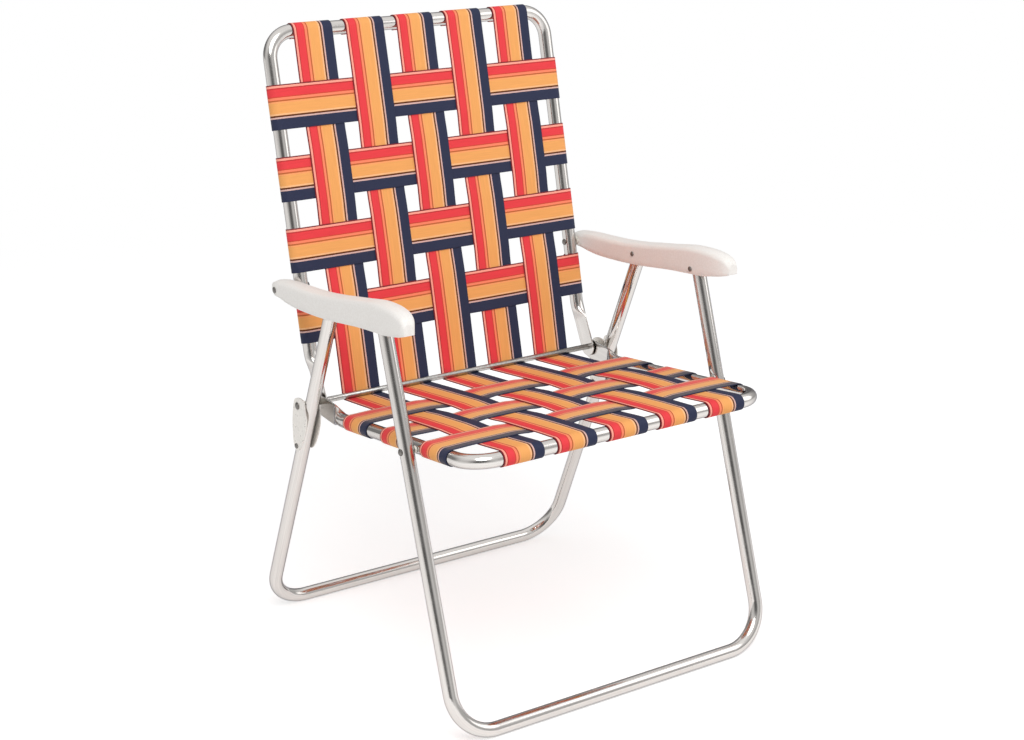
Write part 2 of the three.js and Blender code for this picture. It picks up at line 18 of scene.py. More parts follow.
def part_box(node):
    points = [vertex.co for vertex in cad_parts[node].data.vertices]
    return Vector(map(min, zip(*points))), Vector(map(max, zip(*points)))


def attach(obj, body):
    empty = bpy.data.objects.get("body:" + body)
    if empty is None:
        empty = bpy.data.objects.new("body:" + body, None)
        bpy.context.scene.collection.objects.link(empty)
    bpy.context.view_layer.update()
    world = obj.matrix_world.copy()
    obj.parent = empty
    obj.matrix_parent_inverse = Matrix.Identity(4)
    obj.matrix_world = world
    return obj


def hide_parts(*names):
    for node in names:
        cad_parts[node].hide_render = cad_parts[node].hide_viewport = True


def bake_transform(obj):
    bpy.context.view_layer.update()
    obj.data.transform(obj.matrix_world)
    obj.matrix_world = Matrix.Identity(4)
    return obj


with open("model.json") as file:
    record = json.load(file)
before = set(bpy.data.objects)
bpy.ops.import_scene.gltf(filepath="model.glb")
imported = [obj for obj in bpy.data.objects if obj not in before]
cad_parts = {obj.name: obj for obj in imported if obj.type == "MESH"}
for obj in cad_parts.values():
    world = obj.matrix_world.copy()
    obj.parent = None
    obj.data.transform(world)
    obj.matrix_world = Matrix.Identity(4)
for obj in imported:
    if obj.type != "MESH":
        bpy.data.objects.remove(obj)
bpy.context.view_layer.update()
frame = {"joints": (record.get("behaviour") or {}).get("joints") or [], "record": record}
bodies = frame["record"]["behaviour"]["bodies"]
body_of = {node: body for body, nodes in bodies.items() for node in nodes}
scene = bpy.context.scene

# %% [markdown]
# ## Measures
# What the frame knows is read from it and not measured again. The pivots are its own joints, and the
# tubes' middles come from the boxes of the CAD nodes. The CAD tubes have flat facets, so a box
# reaches a little less far than the round tube does. Every length here is in metres.

# %% Take the measures
HALF_TURN = math.pi
FULL_TURN = 2 * HALF_TURN
QUARTER_TURN = HALF_TURN / 2
TUBE_RADIUS = 0.0111
TUBE_WALL = 0.00125
CAD_TUBE_SIDES = 16
FACET_RADIUS = TUBE_RADIUS * math.cos(HALF_TURN / CAD_TUBE_SIDES)
ACROSS = Vector((1, 0, 0))


def middle(node):
    low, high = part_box(node)
    return (low + high) / 2


def side_view(point):
    """The same place in the middle plane of the chair."""
    return Vector((0, point.y, point.z))


def both_sides(stem):
    """The names of a node that the chair has once on its left and once on its right."""
    return [stem + "_left", stem + "_right"]


joint_place = {joint["name"]: Vector(joint["pos_m"]) for joint in frame["joints"]}
hinge = joint_place["back_fold"]
arm_rear = joint_place["arm_swing"]
arm_middle = joint_place["rear_leg_swing"]
seat_pivot = joint_place["front_leg_swing"]
arm_front = arm_rear + seat_pivot - hinge
link_pivot = side_view(middle("link_stud_outer_left"))

leg_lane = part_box("front_leg_frame")[1].x - FACET_RADIUS
back_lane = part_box("back_frame")[1].x - FACET_RADIUS
seat_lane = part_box("seat_frame")[1].x - FACET_RADIUS
print("lanes:", [round(lane, 4) for lane in (leg_lane, back_lane, seat_lane)])

# %% [markdown]
# ## Panels
# The back and the seat are each a flat panel: a cross bar, two rails that run from it towards the
# hinge, and straps a little above them. A place on a panel is easiest to give in the panel's own
# directions, so a small class holds the bar and the two directions, and turns a place across, along
# and above the rails into a point of the chair.


# %% Describe the two panels
class Panel:
    """One body frame: places are across the chair, along its rails and above them."""

    def __init__(self, name, bar, passing, upper_side):
        self.name = name
        self.bar = bar
        self.along = (passing - bar).normalized()
        self.above = upper_side * ACROSS.cross(self.along)

    def point(self, across, along, above):
        return self.bar + ACROSS * across + self.along * along + self.above * above

    def along_of(self, place):
        return (side_view(place) - self.bar).dot(self.along)


back_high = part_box("back_frame")[1]
seat_low, seat_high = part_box("seat_frame")
back_bar = Vector((0, back_high.y - TUBE_RADIUS, back_high.z - TUBE_RADIUS))
seat_bar = Vector((0, seat_low.y + TUBE_RADIUS, seat_high.z - TUBE_RADIUS))
back = Panel("back", back_bar, arm_rear, -1)
seat = Panel("seat", seat_bar, seat_pivot, 1)
print("bars:", [round(value, 4) for value in (*back.bar, *seat.bar)])

# %% [markdown]
# ## A way to write node trees
# Shader trees and Geometry Nodes trees are both made of nodes, settings and links. One helper adds a
# node, sets its options and fills each input by name, either with a value or with a link from
# another node. A second one does arithmetic. That keeps every tree below short enough to read.


# %% Node helpers
def add_node(tree, kind, inputs=None, **settings):
    made = tree.nodes.new(kind)
    for name, value in settings.items():
        setattr(made, name, value)
    for key, value in (inputs or {}).items():
        if isinstance(value, bpy.types.Node):
            value = value.outputs[0]
        if isinstance(value, bpy.types.NodeSocket):
            tree.links.new(value, made.inputs[key])
        else:
            made.inputs[key].default_value = value
    return made


def calculate(tree, operation, *values):
    numbered_inputs = dict(enumerate(values))
    return add_node(tree, "ShaderNodeMath", numbered_inputs, operation=operation)


print("node helpers:", add_node.__name__, calculate.__name__)

# %% [markdown]
# ## A way to write finishes
# Every material here is one Principled shader. A value that is the same all over the piece is set on
# the shader's own socket. What varies comes from noise: it goes through a ramp of colours, through a
# range of roughnesses, or into a bump. Colours are written as on a paint chart and turned into the
# linear values that Blender works with.


# %% Finish helpers
def to_linear(share):
    """Undoes the sRGB curve, whose numbers are those of the standard."""
    return ((share + 0.055) / 1.055) ** 2.4 if share > 0.04045 else share / 12.92


def paint(code):
    shares = [int(code[place : place + 2], 16) / 255 for place in (0, 2, 4)]
    return (*(to_linear(share) for share in shares), 1.0)


def finish(name, **fixed):
    """A material with one Principled shader, whose plain values are set on its own sockets."""
    material = bpy.data.materials.new(name)
    material.use_nodes = True
    shader = material.node_tree.nodes["Principled BSDF"]
    for socket, value in fixed.items():
        shader.inputs[socket.replace("_", " ")].default_value = value
    return material, material.node_tree, shader


def noise(tree, place, scale, detail):
    inputs = {"Vector": place, "Scale": scale, "Detail": detail}
    return add_node(tree, "ShaderNodeTexNoise", inputs).outputs["Fac"]


def colour_ramp(tree, value, stops, interpolation="LINEAR"):
    """A value turned into colours. A new ramp comes with two stops, so those are used first."""
    ramp = add_node(tree, "ShaderNodeValToRGB", {"Fac": value})
    ramp.color_ramp.interpolation = interpolation
    elements = ramp.color_ramp.elements
    for index, (share, colour) in enumerate(stops):
        stop = elements[index] if index < 2 else elements.new(share)
        stop.position = share
        stop.color = colour
    return ramp.outputs["Color"]


def vary_roughness(tree, shader, value, between, roughness):
    """As the value goes from one end of `between` to the other, so does the roughness."""
    inputs = {
        "Value": value,
        "From Min": between[0],
        "From Max": between[1],
        "To Min": roughness[0],
        "To Max": roughness[1],
    }
    mapped = add_node(tree, "ShaderNodeMapRange", inputs)
    tree.links.new(mapped.outputs["Result"], shader.inputs["Roughness"])


def raise_surface(tree, shader, height, strength, distance):
    inputs = {"Height": height, "Strength": strength, "Distance": distance}
    bump = add_node(tree, "ShaderNodeBump", inputs)
    tree.links.new(bump.outputs["Normal"], shader.inputs["Normal"])


print("white:", paint("ffffff"))

# %% [markdown]
# ## Bright aluminium tube
# The tube is drawn through a die and polished, so its marks run lengthwise. A pattern that follows
# the tube needs a coordinate that follows it too: each tube mesh carries one named tube_place, the
# place its point would have if the tube were straight. Noise squeezed along that line gives the
# faint draw marks in colour, roughness and bump. A dark specular tint draws the thin dark lines
# that polished metal shows where it turns away.

# %% Make the tube finish
POLISH = {"Metallic": 1.0, "IOR": 1.45, "Specular_Tint": paint("a3a3a8")}
TUBE_TONES = [(0.3, paint("d0ccc8")), (0.7, paint("dedad6"))]
DRAW_MARK_SCALE = 900.0
DRAW_MARK_DETAIL = 3.0
DRAW_MARK_STRETCH = (1.0, 1.0, 0.012)
DRAW_MARK_STRENGTH = 0.12
DRAW_MARK_DEPTH = 0.0001
HANDLING_SCALE = 38.0
HANDLING_DETAIL = 4.0
HANDLING_RANGE = (0.35, 0.7)
TUBE_ROUGHNESS = (0.1, 0.19)


def tube_finish():
    material, tree, shader = finish("bright_aluminium", **POLISH)
    place = add_node(tree, "ShaderNodeAttribute", attribute_name="tube_place").outputs["Vector"]
    lengthwise = add_node(tree, "ShaderNodeMapping", {"Vector": place, "Scale": DRAW_MARK_STRETCH})
    marks = noise(tree, lengthwise, DRAW_MARK_SCALE, DRAW_MARK_DETAIL)
    handling = noise(tree, place, HANDLING_SCALE, HANDLING_DETAIL)
    tree.links.new(colour_ramp(tree, marks, TUBE_TONES), shader.inputs["Base Color"])
    vary_roughness(tree, shader, handling, HANDLING_RANGE, TUBE_ROUGHNESS)
    raise_surface(tree, shader, marks, DRAW_MARK_STRENGTH, DRAW_MARK_DEPTH)
    return material


bright_aluminium = tube_finish()
print("finish:", bright_aluminium.name)

# %% [markdown]
# ## Webbing
# The straps are woven plastic yarn, 70 mm wide, striped along their length. The strap mesh carries a
# UV map: U runs across the strap from 0 to 1, and V runs along it in strap widths. The stripes are
# then a ramp over U with hard steps, and each stop is where a stripe begins. A little noise lets the
# stripes' edges wander, as woven ones do.

# %% Choose the stripes
STRAP_STRIPES = [
    (0.000, "7f2c31"),
    (0.027, "ffa794"),
    (0.074, "c5393a"),
    (0.098, "ea444a"),
    (0.262, "d4483a"),
    (0.286, "fb8b68"),
    (0.342, "c1653a"),
    (0.374, "fba76c"),
    (0.408, "f3ab64"),
    (0.640, "f9be8a"),
    (0.676, "63341b"),
    (0.715, "dcb6ae"),
    (0.751, "31364e"),
]
WANDER_SCALE = 26.0
WANDER_DETAIL = 2.0
WANDER = 0.003


def striped_colour(tree, chart, across):
    uneven = noise(tree, chart, WANDER_SCALE, WANDER_DETAIL)
    aside = calculate(tree, "MULTIPLY_ADD", uneven, 2 * WANDER, -WANDER)
    place = calculate(tree, "ADD", across, aside)
    stops = [(share, paint(code)) for share, code in STRAP_STRIPES]
    return colour_ramp(tree, place, stops, "CONSTANT")


print("stripes:", len(STRAP_STRIPES))

# %% [markdown]
# Two sine waves multiplied give the small over-and-under bumps of a plain weave, and long thin noise
# gives the uneven yarns. Both raise the surface, and both darken the stripes a little where it is
# lower: painted shade in the weave's dips, and in the ribs partly their uneven tone, partly painted
# shade. The yarns run lengthwise, so the shine is stretched across them. The seat's cross straps are
# seen square to their yarns and low over the cloth, where woven plastic looks paler and warmer: they
# have more sheen.

# %% Weave the finish
WEBBING = {
    "Roughness": 0.7,
    "Specular IOR Level": 0.2,
    "Anisotropic": 0.8,
    "Sheen Roughness": 0.3,
    "Sheen Tint": (1.0, 0.84, 0.6, 1.0),
}
LENGTHWISE_SHEEN = 0.03
CROSSWISE_SHEEN = 0.62
YARNS_ACROSS = 58.0
PICKS_PER_WIDTH = 46.0
RIB_STRETCH = (46.0, 1.6, 1.0)
RIB_SCALE = 1.0
RIB_DETAIL = 2.0
LEAST_SHADE = 0.9
# Painted shade in the weave's dips, then the ribs' darkening: uneven yarn tone and painted shade.
WEAVE_PAINTED_SHADE = 0.05
RIB_TONE_AND_PAINTED_SHADE = 0.2
RIB_HEIGHT = 0.8
WEAVE_STRENGTH = 0.35
WEAVE_DEPTH = 0.0002


def plain_weave(tree, across, along):
    yarn_turn = calculate(tree, "MULTIPLY", across, YARNS_ACROSS * HALF_TURN)
    pick_turn = calculate(tree, "MULTIPLY", along, PICKS_PER_WIDTH * HALF_TURN)
    yarn = calculate(tree, "SINE", yarn_turn)
    pick = calculate(tree, "SINE", pick_turn)
    return calculate(tree, "MULTIPLY", yarn, pick)


def shaded(tree, colour, shade):
    grey = add_node(tree, "ShaderNodeCombineColor", {"Red": shade, "Green": shade, "Blue": shade})
    inputs = {"Factor": 1.0, "A": colour, "B": grey.outputs["Color"]}
    mixed = add_node(tree, "ShaderNodeMix", inputs, data_type="RGBA", blend_type="MULTIPLY")
    return mixed.outputs["Result"]


def webbing_finish(name, sheen):
    material, tree, shader = finish(name, **WEBBING, Sheen_Weight=sheen)
    chart = add_node(tree, "ShaderNodeUVMap", uv_map="strap_uv")
    tangent = add_node(tree, "ShaderNodeTangent", direction_type="UV_MAP", uv_map="strap_uv")
    tree.links.new(tangent.outputs["Tangent"], shader.inputs["Tangent"])
    axes = add_node(tree, "ShaderNodeSeparateXYZ", {"Vector": chart}).outputs
    weave = plain_weave(tree, axes["X"], axes["Y"])
    stretched = add_node(tree, "ShaderNodeMapping", {"Vector": chart, "Scale": RIB_STRETCH})
    ribs = noise(tree, stretched, RIB_SCALE, RIB_DETAIL)
    # The colour is darker where the weave and ribs are lower: painted shade, with uneven yarn tone in
    # the ribs.
    weave_painted_shade = calculate(tree, "MULTIPLY_ADD", weave, WEAVE_PAINTED_SHADE, LEAST_SHADE)
    shade = calculate(tree, "MULTIPLY_ADD", ribs, RIB_TONE_AND_PAINTED_SHADE, weave_painted_shade)
    colour = shaded(tree, striped_colour(tree, chart, axes["X"]), shade)
    tree.links.new(colour, shader.inputs["Base Color"])
    height = calculate(tree, "MULTIPLY_ADD", ribs, RIB_HEIGHT, weave)
    raise_surface(tree, shader, height, WEAVE_STRENGTH, WEAVE_DEPTH)
    return material


striped_webbing = webbing_finish("striped_webbing", LENGTHWISE_SHEEN)
crosswise_webbing = webbing_finish("crosswise_webbing", CROSSWISE_SHEEN)
print("finishes:", striped_webbing.name, crosswise_webbing.name)

# %% [markdown]
# ## Plastic and steel
# The armrests are moulded in off-white plastic with a satin skin, the washers in plain nylon, and
# the links, rivets and hinge rod are plated steel. Each is one Principled shader. Noise on Object
# coordinates breaks the colour and the gloss a little, since a surface with one value all over looks
# like a drawing of the material and not like the material.


# %% Make the plain finishes
SPECKLE_DETAIL = 5.0
SPECKLE_DARK_SHARE = 0.35
SPECKLE_LIGHT_SHARE = 0.65
SPECKLE_STRENGTH = 0.3


def speckled_finish(name, light, dark, scale, roughness, depth, **fixed):
    """Noise between two colours and two roughnesses, with the same noise as a small bump."""
    material, tree, shader = finish(name, **fixed)
    place = add_node(tree, "ShaderNodeTexCoord").outputs["Object"]
    speckles = noise(tree, place, scale, SPECKLE_DETAIL)
    tones = [(SPECKLE_DARK_SHARE, paint(dark)), (SPECKLE_LIGHT_SHARE, paint(light))]
    tree.links.new(colour_ramp(tree, speckles, tones), shader.inputs["Base Color"])
    vary_roughness(tree, shader, speckles, (0.0, 1.0), roughness)
    raise_surface(tree, shader, speckles, SPECKLE_STRENGTH, depth)
    return material


armrest_plastic = speckled_finish(
    "armrest_plastic",
    light="f5f2ee",
    dark="efebe6",
    scale=420.0,
    roughness=(0.36, 0.5),
    depth=0.00008,
    Specular_IOR_Level=0.5,
)
plain_nylon = speckled_finish(
    "plain_nylon",
    light="e4e1d8",
    dark="d9d5ca",
    scale=300.0,
    roughness=(0.45, 0.6),
    depth=0.00005,
)
plated_steel = speckled_finish(
    "plated_steel",
    light="bdbcb9",
    dark="a5a4a1",
    scale=260.0,
    roughness=(0.25, 0.42),
    depth=0.00004,
    Metallic=1.0,
)
stamped_steel = speckled_finish(
    "stamped_steel",
    light="e4e0da",
    dark="dbd7d1",
    scale=220.0,
    roughness=(0.24, 0.34),
    depth=0.00003,
    Metallic=0.6,
)
rivet_steel = speckled_finish(
    "rivet_steel",
    light="8d8a86",
    dark="6f6c69",
    scale=340.0,
    roughness=(0.3, 0.5),
    depth=0.00004,
    Metallic=1.0,
)
plain_finishes = (armrest_plastic, plain_nylon, plated_steel, stamped_steel, rivet_steel)
print("finishes:", [material.name for material in plain_finishes])

# %% [markdown]
# ## From a node tree to a plain piece
# A Geometry Nodes tree here takes a line, drawn as a chain of mesh edges, and returns the finished
# surface. Its inputs have names and are set through the socket's identifier before the tree first
# runs. The result is then copied to a plain mesh, and the object with the modifier is deleted, so
# the piece that stays holds nothing live except finishing modifiers.


# %% Geometry tree helpers
def geometry_tree(name, **defaults):
    """A new tree with a Geometry input and output, and a named input for each default."""
    tree = bpy.data.node_groups.new(name, "GeometryNodeTree")
    kinds = {int: "NodeSocketInt", float: "NodeSocketFloat", Vector: "NodeSocketVector"}
    tree.interface.new_socket("Geometry", in_out="INPUT", socket_type="NodeSocketGeometry")
    for label, value in defaults.items():
        kind = kinds.get(type(value), "NodeSocketMaterial")
        tree.interface.new_socket(label, in_out="INPUT", socket_type=kind).default_value = value
    tree.interface.new_socket("Geometry", in_out="OUTPUT", socket_type="NodeSocketGeometry")
    return tree, add_node(tree, "NodeGroupInput").outputs


def end_tree(tree, geometry, material):
    real = add_node(tree, "GeometryNodeRealizeInstances", {"Geometry": geometry})
    painted = add_node(tree, "GeometryNodeSetMaterial", {"Geometry": real, "Material": material})
    add_node(tree, "NodeGroupOutput", {"Geometry": painted})


def store(tree, geometry, name, value, kind="FLOAT", domain="POINT"):
    inputs = {"Geometry": geometry, "Name": name, "Value": value}
    return add_node(tree, "GeometryNodeStoreNamedAttribute", inputs, data_type=kind, domain=domain)


def stored(tree, name, kind="FLOAT"):
    found = add_node(tree, "GeometryNodeInputNamedAttribute", {"Name": name}, data_type=kind)
    return found.outputs["Attribute"]


print("tree helpers:", geometry_tree.__name__, end_tree.__name__, store.__name__, stored.__name__)

# %% [markdown]
# A line goes in as a mesh of edges only. What comes out is smooth-shaded, because almost every piece
# of this chair is round, moulded or cloth. The few flat ones keep their edges with weighted normals.


# %% Grow a piece from a line
def chain(*lines):
    """A mesh of edges only: each line of points becomes one chain."""
    mesh = bpy.data.meshes.new("line")
    points = [point for line in lines for point in line]
    edges = []
    start = 0
    for line in lines:
        edges += [(start + step, start + step + 1) for step in range(len(line) - 1)]
        start += len(line)
    mesh.from_pydata(points, edges, [])
    return mesh


def new_piece(name, mesh, material=None):
    piece = bpy.data.objects.new(name, mesh)
    scene.collection.objects.link(piece)
    if material is not None:
        mesh.materials.append(material)
    for face in mesh.polygons:
        face.use_smooth = True
    return piece


def grow(name, line, tree, **sizes):
    """Runs a tree on a line of edges and returns its result as a plain mesh piece."""
    holder = bpy.data.objects.new(name + "_line", line)
    scene.collection.objects.link(holder)
    modifier = holder.modifiers.new("grow", "NODES")
    modifier.node_group = tree
    for socket in tree.interface.items_tree:
        if socket.in_out == "INPUT" and socket.name in sizes:
            modifier[socket.identifier] = sizes[socket.name]
    holder.update_tag()
    graph = bpy.context.evaluated_depsgraph_get()
    mesh = bpy.data.meshes.new_from_object(holder.evaluated_get(graph), depsgraph=graph)
    bpy.data.objects.remove(holder)
    return new_piece(name, mesh)


print("piece helpers:", chain.__name__, new_piece.__name__, grow.__name__)

# %% [markdown]
# ## Finishing a piece
# Most pieces end in the same few steps. Their faces are turned outwards, a sheet gets its thickness
# from Solidify, and edges sharper than some angle are rounded by Bevel. Then the piece is settled: it
# rides on a body and stands in for CAD nodes.

# %% Finishing helpers
ROUNDING_STEPS = 2
INWARDS = -1
BOTH_WAYS = 0


def face_outwards(piece):
    shape = bmesh.new()
    shape.from_mesh(piece.data)
    bmesh.ops.recalc_face_normals(shape, faces=shape.faces)
    shape.to_mesh(piece.data)
    shape.free()


def give_thickness(piece, name, thickness, way):
    wall = piece.modifiers.new(name, "SOLIDIFY")
    wall.thickness = thickness
    wall.offset = way


def round_edges(piece, name, radius, sharp_degrees):
    rounding = piece.modifiers.new(name, "BEVEL")
    rounding.width = radius
    rounding.segments = ROUNDING_STEPS
    rounding.limit_method = "ANGLE"
    rounding.angle_limit = math.radians(sharp_degrees)


def settle(piece, body, slot, *nodes):
    """Puts a finished piece on its body and in place of its CAD nodes. The slot is not used."""
    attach(piece, body)
    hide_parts(*nodes)
    print(piece.name, "on", body, "with", len(piece.data.polygons), "faces")


finishing_helpers = (face_outwards, give_thickness, round_edges, settle)
print("finishing helpers:", [helper.__name__ for helper in finishing_helpers])

# %% [markdown]
# ## Leg frames
# Each pair of legs is one tube, bent twice into a wide U: its bar lies on the floor and its open
# ends stand in the armrests. A tube bent on a round former is a straight line with rounded corners,
# swept by a circle. Fillet Curve rounds the corners and Curve to Mesh sweeps the circle. The line's
# length and the circle's points are stored on the way, and become the straight tube's coordinate.

# %% Grow the leg frames
LEG_BEND_RADIUS = 0.068
LEG_BEND_STEPS = 18
LEG_TOP_RUN = 0.010
TUBE_SIDES = 40


def bent_tube_tree():
    tree, given = geometry_tree(
        "bent_tube",
        tube_radius=TUBE_RADIUS,
        bend_radius=LEG_BEND_RADIUS,
        bend_steps=LEG_BEND_STEPS,
        sides=TUBE_SIDES,
        material=bright_aluminium,
    )
    line = add_node(tree, "GeometryNodeMeshToCurve", {"Mesh": given["Geometry"]})
    bend = {"Curve": line, "Count": given["bend_steps"], "Radius": given["bend_radius"]}
    bent = add_node(tree, "GeometryNodeFilletCurve", bend, mode="POLY")
    parameter = add_node(tree, "GeometryNodeSplineParameter")
    measured = store(tree, bent, "run", parameter.outputs["Length"])
    section = {"Resolution": given["sides"], "Radius": given["tube_radius"]}
    ring = add_node(tree, "GeometryNodeCurvePrimitiveCircle", section)
    around = add_node(tree, "GeometryNodeInputPosition")
    marked_ring = store(tree, ring, "around", around, "FLOAT_VECTOR")
    sweep = {"Curve": measured, "Profile Curve": marked_ring}
    tube = add_node(tree, "GeometryNodeCurveToMesh", sweep)
    run = add_node(tree, "ShaderNodeCombineXYZ", {"Z": stored(tree, "run")})
    both = {0: stored(tree, "around", "FLOAT_VECTOR"), 1: run}
    straight = add_node(tree, "ShaderNodeVectorMath", both, operation="ADD")
    placed = store(tree, tube, "tube_place", straight, "FLOAT_VECTOR")
    end_tree(tree, placed, given["material"])
    return tree


def leg_frame(node, foot, top_pivot):
    leg_up = (top_pivot - foot).normalized()
    top = top_pivot + leg_up * LEG_TOP_RUN
    lane = ACROSS * leg_lane
    line = chain([top - lane, foot - lane, foot + lane, top + lane])
    piece = grow(node.replace("frame", "tube"), line, bent_tube)
    face_outwards(piece)
    give_thickness(piece, "wall", TUBE_WALL, INWARDS)
    piece.modifiers.new("straight_runs", "WEIGHTED_NORMAL")
    settle(piece, body_of[node], "frame_tube", node)


bent_tube = bent_tube_tree()
front_foot = Vector((0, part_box("front_leg_frame")[0].y + TUBE_RADIUS, TUBE_RADIUS))
rear_foot = Vector((0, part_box("rear_leg_frame")[1].y - TUBE_RADIUS, TUBE_RADIUS))
leg_frame("front_leg_frame", front_foot, arm_front)
leg_frame("rear_leg_frame", rear_foot, arm_middle)

# %% [markdown]
# ## Back and seat frames
# These two tubes are bent as well, but their ends are pressed flat and drilled for the hinge rod, so
# the section changes from a circle to a flat bar with rounded corners. A sweep can't do that. The
# tube is built as rings of points instead, and a bender's programme of feeds and turns gives a pose
# for each ring: where it is, where the tube heads, and which way is up.


# %% Feed and turn
def feed(pose, length):
    origin, heading, up = pose
    return origin + heading * length, heading, up


def turn(pose, angle, radius, axis, steps):
    """The poses round a bend: the former's middle is beside the tube, and all else turns about it."""
    origin, heading, up = pose
    former = origin + axis.cross(heading) * radius
    poses = []
    for step in range(1, steps + 1):
        swing = Matrix.Rotation(angle * step / steps, 3, axis)
        poses.append((former + swing @ (origin - former), swing @ heading, swing @ up))
    return poses


upwards = Vector((0, 0, 1))
quarter_bend = turn((Vector(), ACROSS, upwards), QUARTER_TURN, 1.0, upwards, 1)
print("a bend of radius 1 ends at", [round(value, 3) for value in quarter_bend[-1][0]])

# %% [markdown]
# A superellipse gives each ring its outline: with a power of 1 it is a circle, and with a small one
# nearly a rectangle. The pressed width follows from the tube, because pressing it flat leaves the
# length of its wall as it was. The trim narrows the last rings, so that the flat end is round.

# %% Outline a ring
PRESSED_THICKNESS = 0.003
PRESSED_HALF_WIDTH = (HALF_TURN * (TUBE_RADIUS - TUBE_WALL / 2) + TUBE_WALL) / 2
SQUARE_POWER = 0.3


def blend_between(first, second, share):
    return first + (second - first) * share


def smooth_step(share):
    return share * share * (3 - 2 * share)


def ring_outline(pose, pressed, trim):
    origin, heading, up = pose
    wide = trim * blend_between(TUBE_RADIUS, PRESSED_HALF_WIDTH, pressed)
    thin = blend_between(TUBE_RADIUS, PRESSED_THICKNESS / 2, pressed)
    power = blend_between(1, SQUARE_POWER, pressed)
    beside = up.cross(heading)
    outline = []
    for side in range(TUBE_SIDES):
        angle = FULL_TURN * (side + 0.5) / TUBE_SIDES
        flat = math.copysign(abs(math.cos(angle)) ** power, math.cos(angle))
        tall = math.copysign(abs(math.sin(angle)) ** power, math.sin(angle))
        outline.append(origin + beside * thin * flat + up * wide * tall)
    return outline


print("pressed end:", round(2 * PRESSED_HALF_WIDTH, 4), "m wide")

# %% [markdown]
# The programme for half a frame: along the bar, round the corner, up the rail, round the slight knee,
# and on to the flat end, which is called the lug. The other half is its mirror image.

# %% Write the bender's programme
FRAME_BEND_RADIUS = 0.042
FRAME_BEND_STEPS = 16
KNEE_STEPS = 8
LUG_FLAT_SHARE = 0.73
LUG_PRESS_SHARE = 0.25
LUG_END = 0.016
PRESS_STEPS = 12
TIP_STEPS = 7
TIP_LEAST_TRIM = 0.1


def frame_stations(panel, lane, knee_run, knee_radius, lug_aim):
    """Rings from the start of the corner to one tip, as (pose, pressed, trim)."""
    inward = ACROSS.cross(panel.along)
    corner = feed((panel.bar.copy(), ACROSS, panel.above), lane - FRAME_BEND_RADIUS)
    bend = turn(corner, QUARTER_TURN, FRAME_BEND_RADIUS, inward, FRAME_BEND_STEPS)
    knee = panel.bar + panel.along * knee_run
    lug_heading = (lug_aim - knee).normalized()
    knee_angle = panel.along.angle(lug_heading)
    knee_axis = panel.along.cross(lug_heading).normalized()
    tangent = knee_radius * math.tan(knee_angle / 2)
    before_knee = feed(bend[-1], knee_run - FRAME_BEND_RADIUS - tangent)
    knee_bend = turn(before_knee, knee_angle, knee_radius, knee_axis, KNEE_STEPS)
    lug_run = (lug_aim - knee).length - tangent + LUG_END
    stations = [(pose, 0, 1) for pose in [corner, *bend, before_knee, *knee_bend]]
    for step in range(PRESS_STEPS + 1):
        share = step / PRESS_STEPS
        back_from_tip = lug_run * (LUG_FLAT_SHARE + LUG_PRESS_SHARE * (1 - share))
        stations.append((feed(knee_bend[-1], lug_run - back_from_tip), smooth_step(share), 1))
    for step in range(TIP_STEPS + 1):
        angle = QUARTER_TURN * step / TIP_STEPS
        forward = lug_run - LUG_END * (1 - math.sin(angle))
        stations.append((feed(knee_bend[-1], forward), 1, max(math.cos(angle), TIP_LEAST_TRIM)))
    return stations


print("programme:", FRAME_BEND_STEPS + KNEE_STEPS + PRESS_STEPS + TIP_STEPS, "steps for half a frame")

# %% [markdown]
# Rings become a skin when each is joined to the next, and a face closes each end. The same loft later
# makes the armrests, whose rings are open below, and the link plates, which have only two rings.


# %% Loft over rings
def loft(rings, ring_is_closed=True):
    """A skin over rings that all have the same number of points, with a face on each end."""
    count = len(rings[0])
    points = [point for ring in rings for point in ring]
    faces = [tuple(range(count)), tuple(range(len(points) - 1, len(points) - 1 - count, -1))]
    for near in range(0, len(points) - count, count):
        for side in range(count if ring_is_closed else count - 1):
            after = (side + 1) % count
            faces.append((near + side, near + after, near + count + after, near + count + side))
    mesh = bpy.data.meshes.new("skin")
    mesh.from_pydata(points, [], faces)
    return mesh


print("loft helper:", loft.__name__)

# %% [markdown]
# Each knee is some share of the way from the rail's pivot to the hinge, as seen in the photograph.
# The seat's flat ends aim a little below the hinge, since their holes sit above their middle. Each
# tube also gets its tube_place, which the polished finish reads.

# %% Make the body frames
BACK_KNEE_SHARE = 0.583
BACK_KNEE_RADIUS = 0.060
SEAT_KNEE_SHARE = 0.754
SEAT_KNEE_RADIUS = 0.050
SEAT_HOLE_RISE = 0.004


def mark_tube(mesh, runs):
    """Writes tube_place: a point on the round tube, and the run along it."""
    place = mesh.attributes.new("tube_place", "FLOAT_VECTOR", "POINT")
    values = []
    for run in runs:
        for side in range(TUBE_SIDES):
            angle = FULL_TURN * side / TUBE_SIDES
            values += [TUBE_RADIUS * math.cos(angle), TUBE_RADIUS * math.sin(angle), run]
    place.data.foreach_set("vector", values)


def body_frame(node, panel, lane, knee_run, knee_radius, lug_aim):
    stations = frame_stations(panel, lane, knee_run, knee_radius, lug_aim)
    right = [ring_outline(*station) for station in stations]
    left = [[Vector((-point.x, point.y, point.z)) for point in ring] for ring in right]
    rings = [*reversed(left), *right]
    middles = [sum(ring, Vector()) / len(ring) for ring in rings]
    runs = [0.0]
    for before, after in zip(middles, middles[1:]):
        runs.append(runs[-1] + (after - before).length)
    mesh = loft(rings)
    mark_tube(mesh, runs)
    piece = new_piece(node.replace("frame", "tube"), mesh, bright_aluminium)
    face_outwards(piece)
    settle(piece, body_of[node], "frame_tube", node)


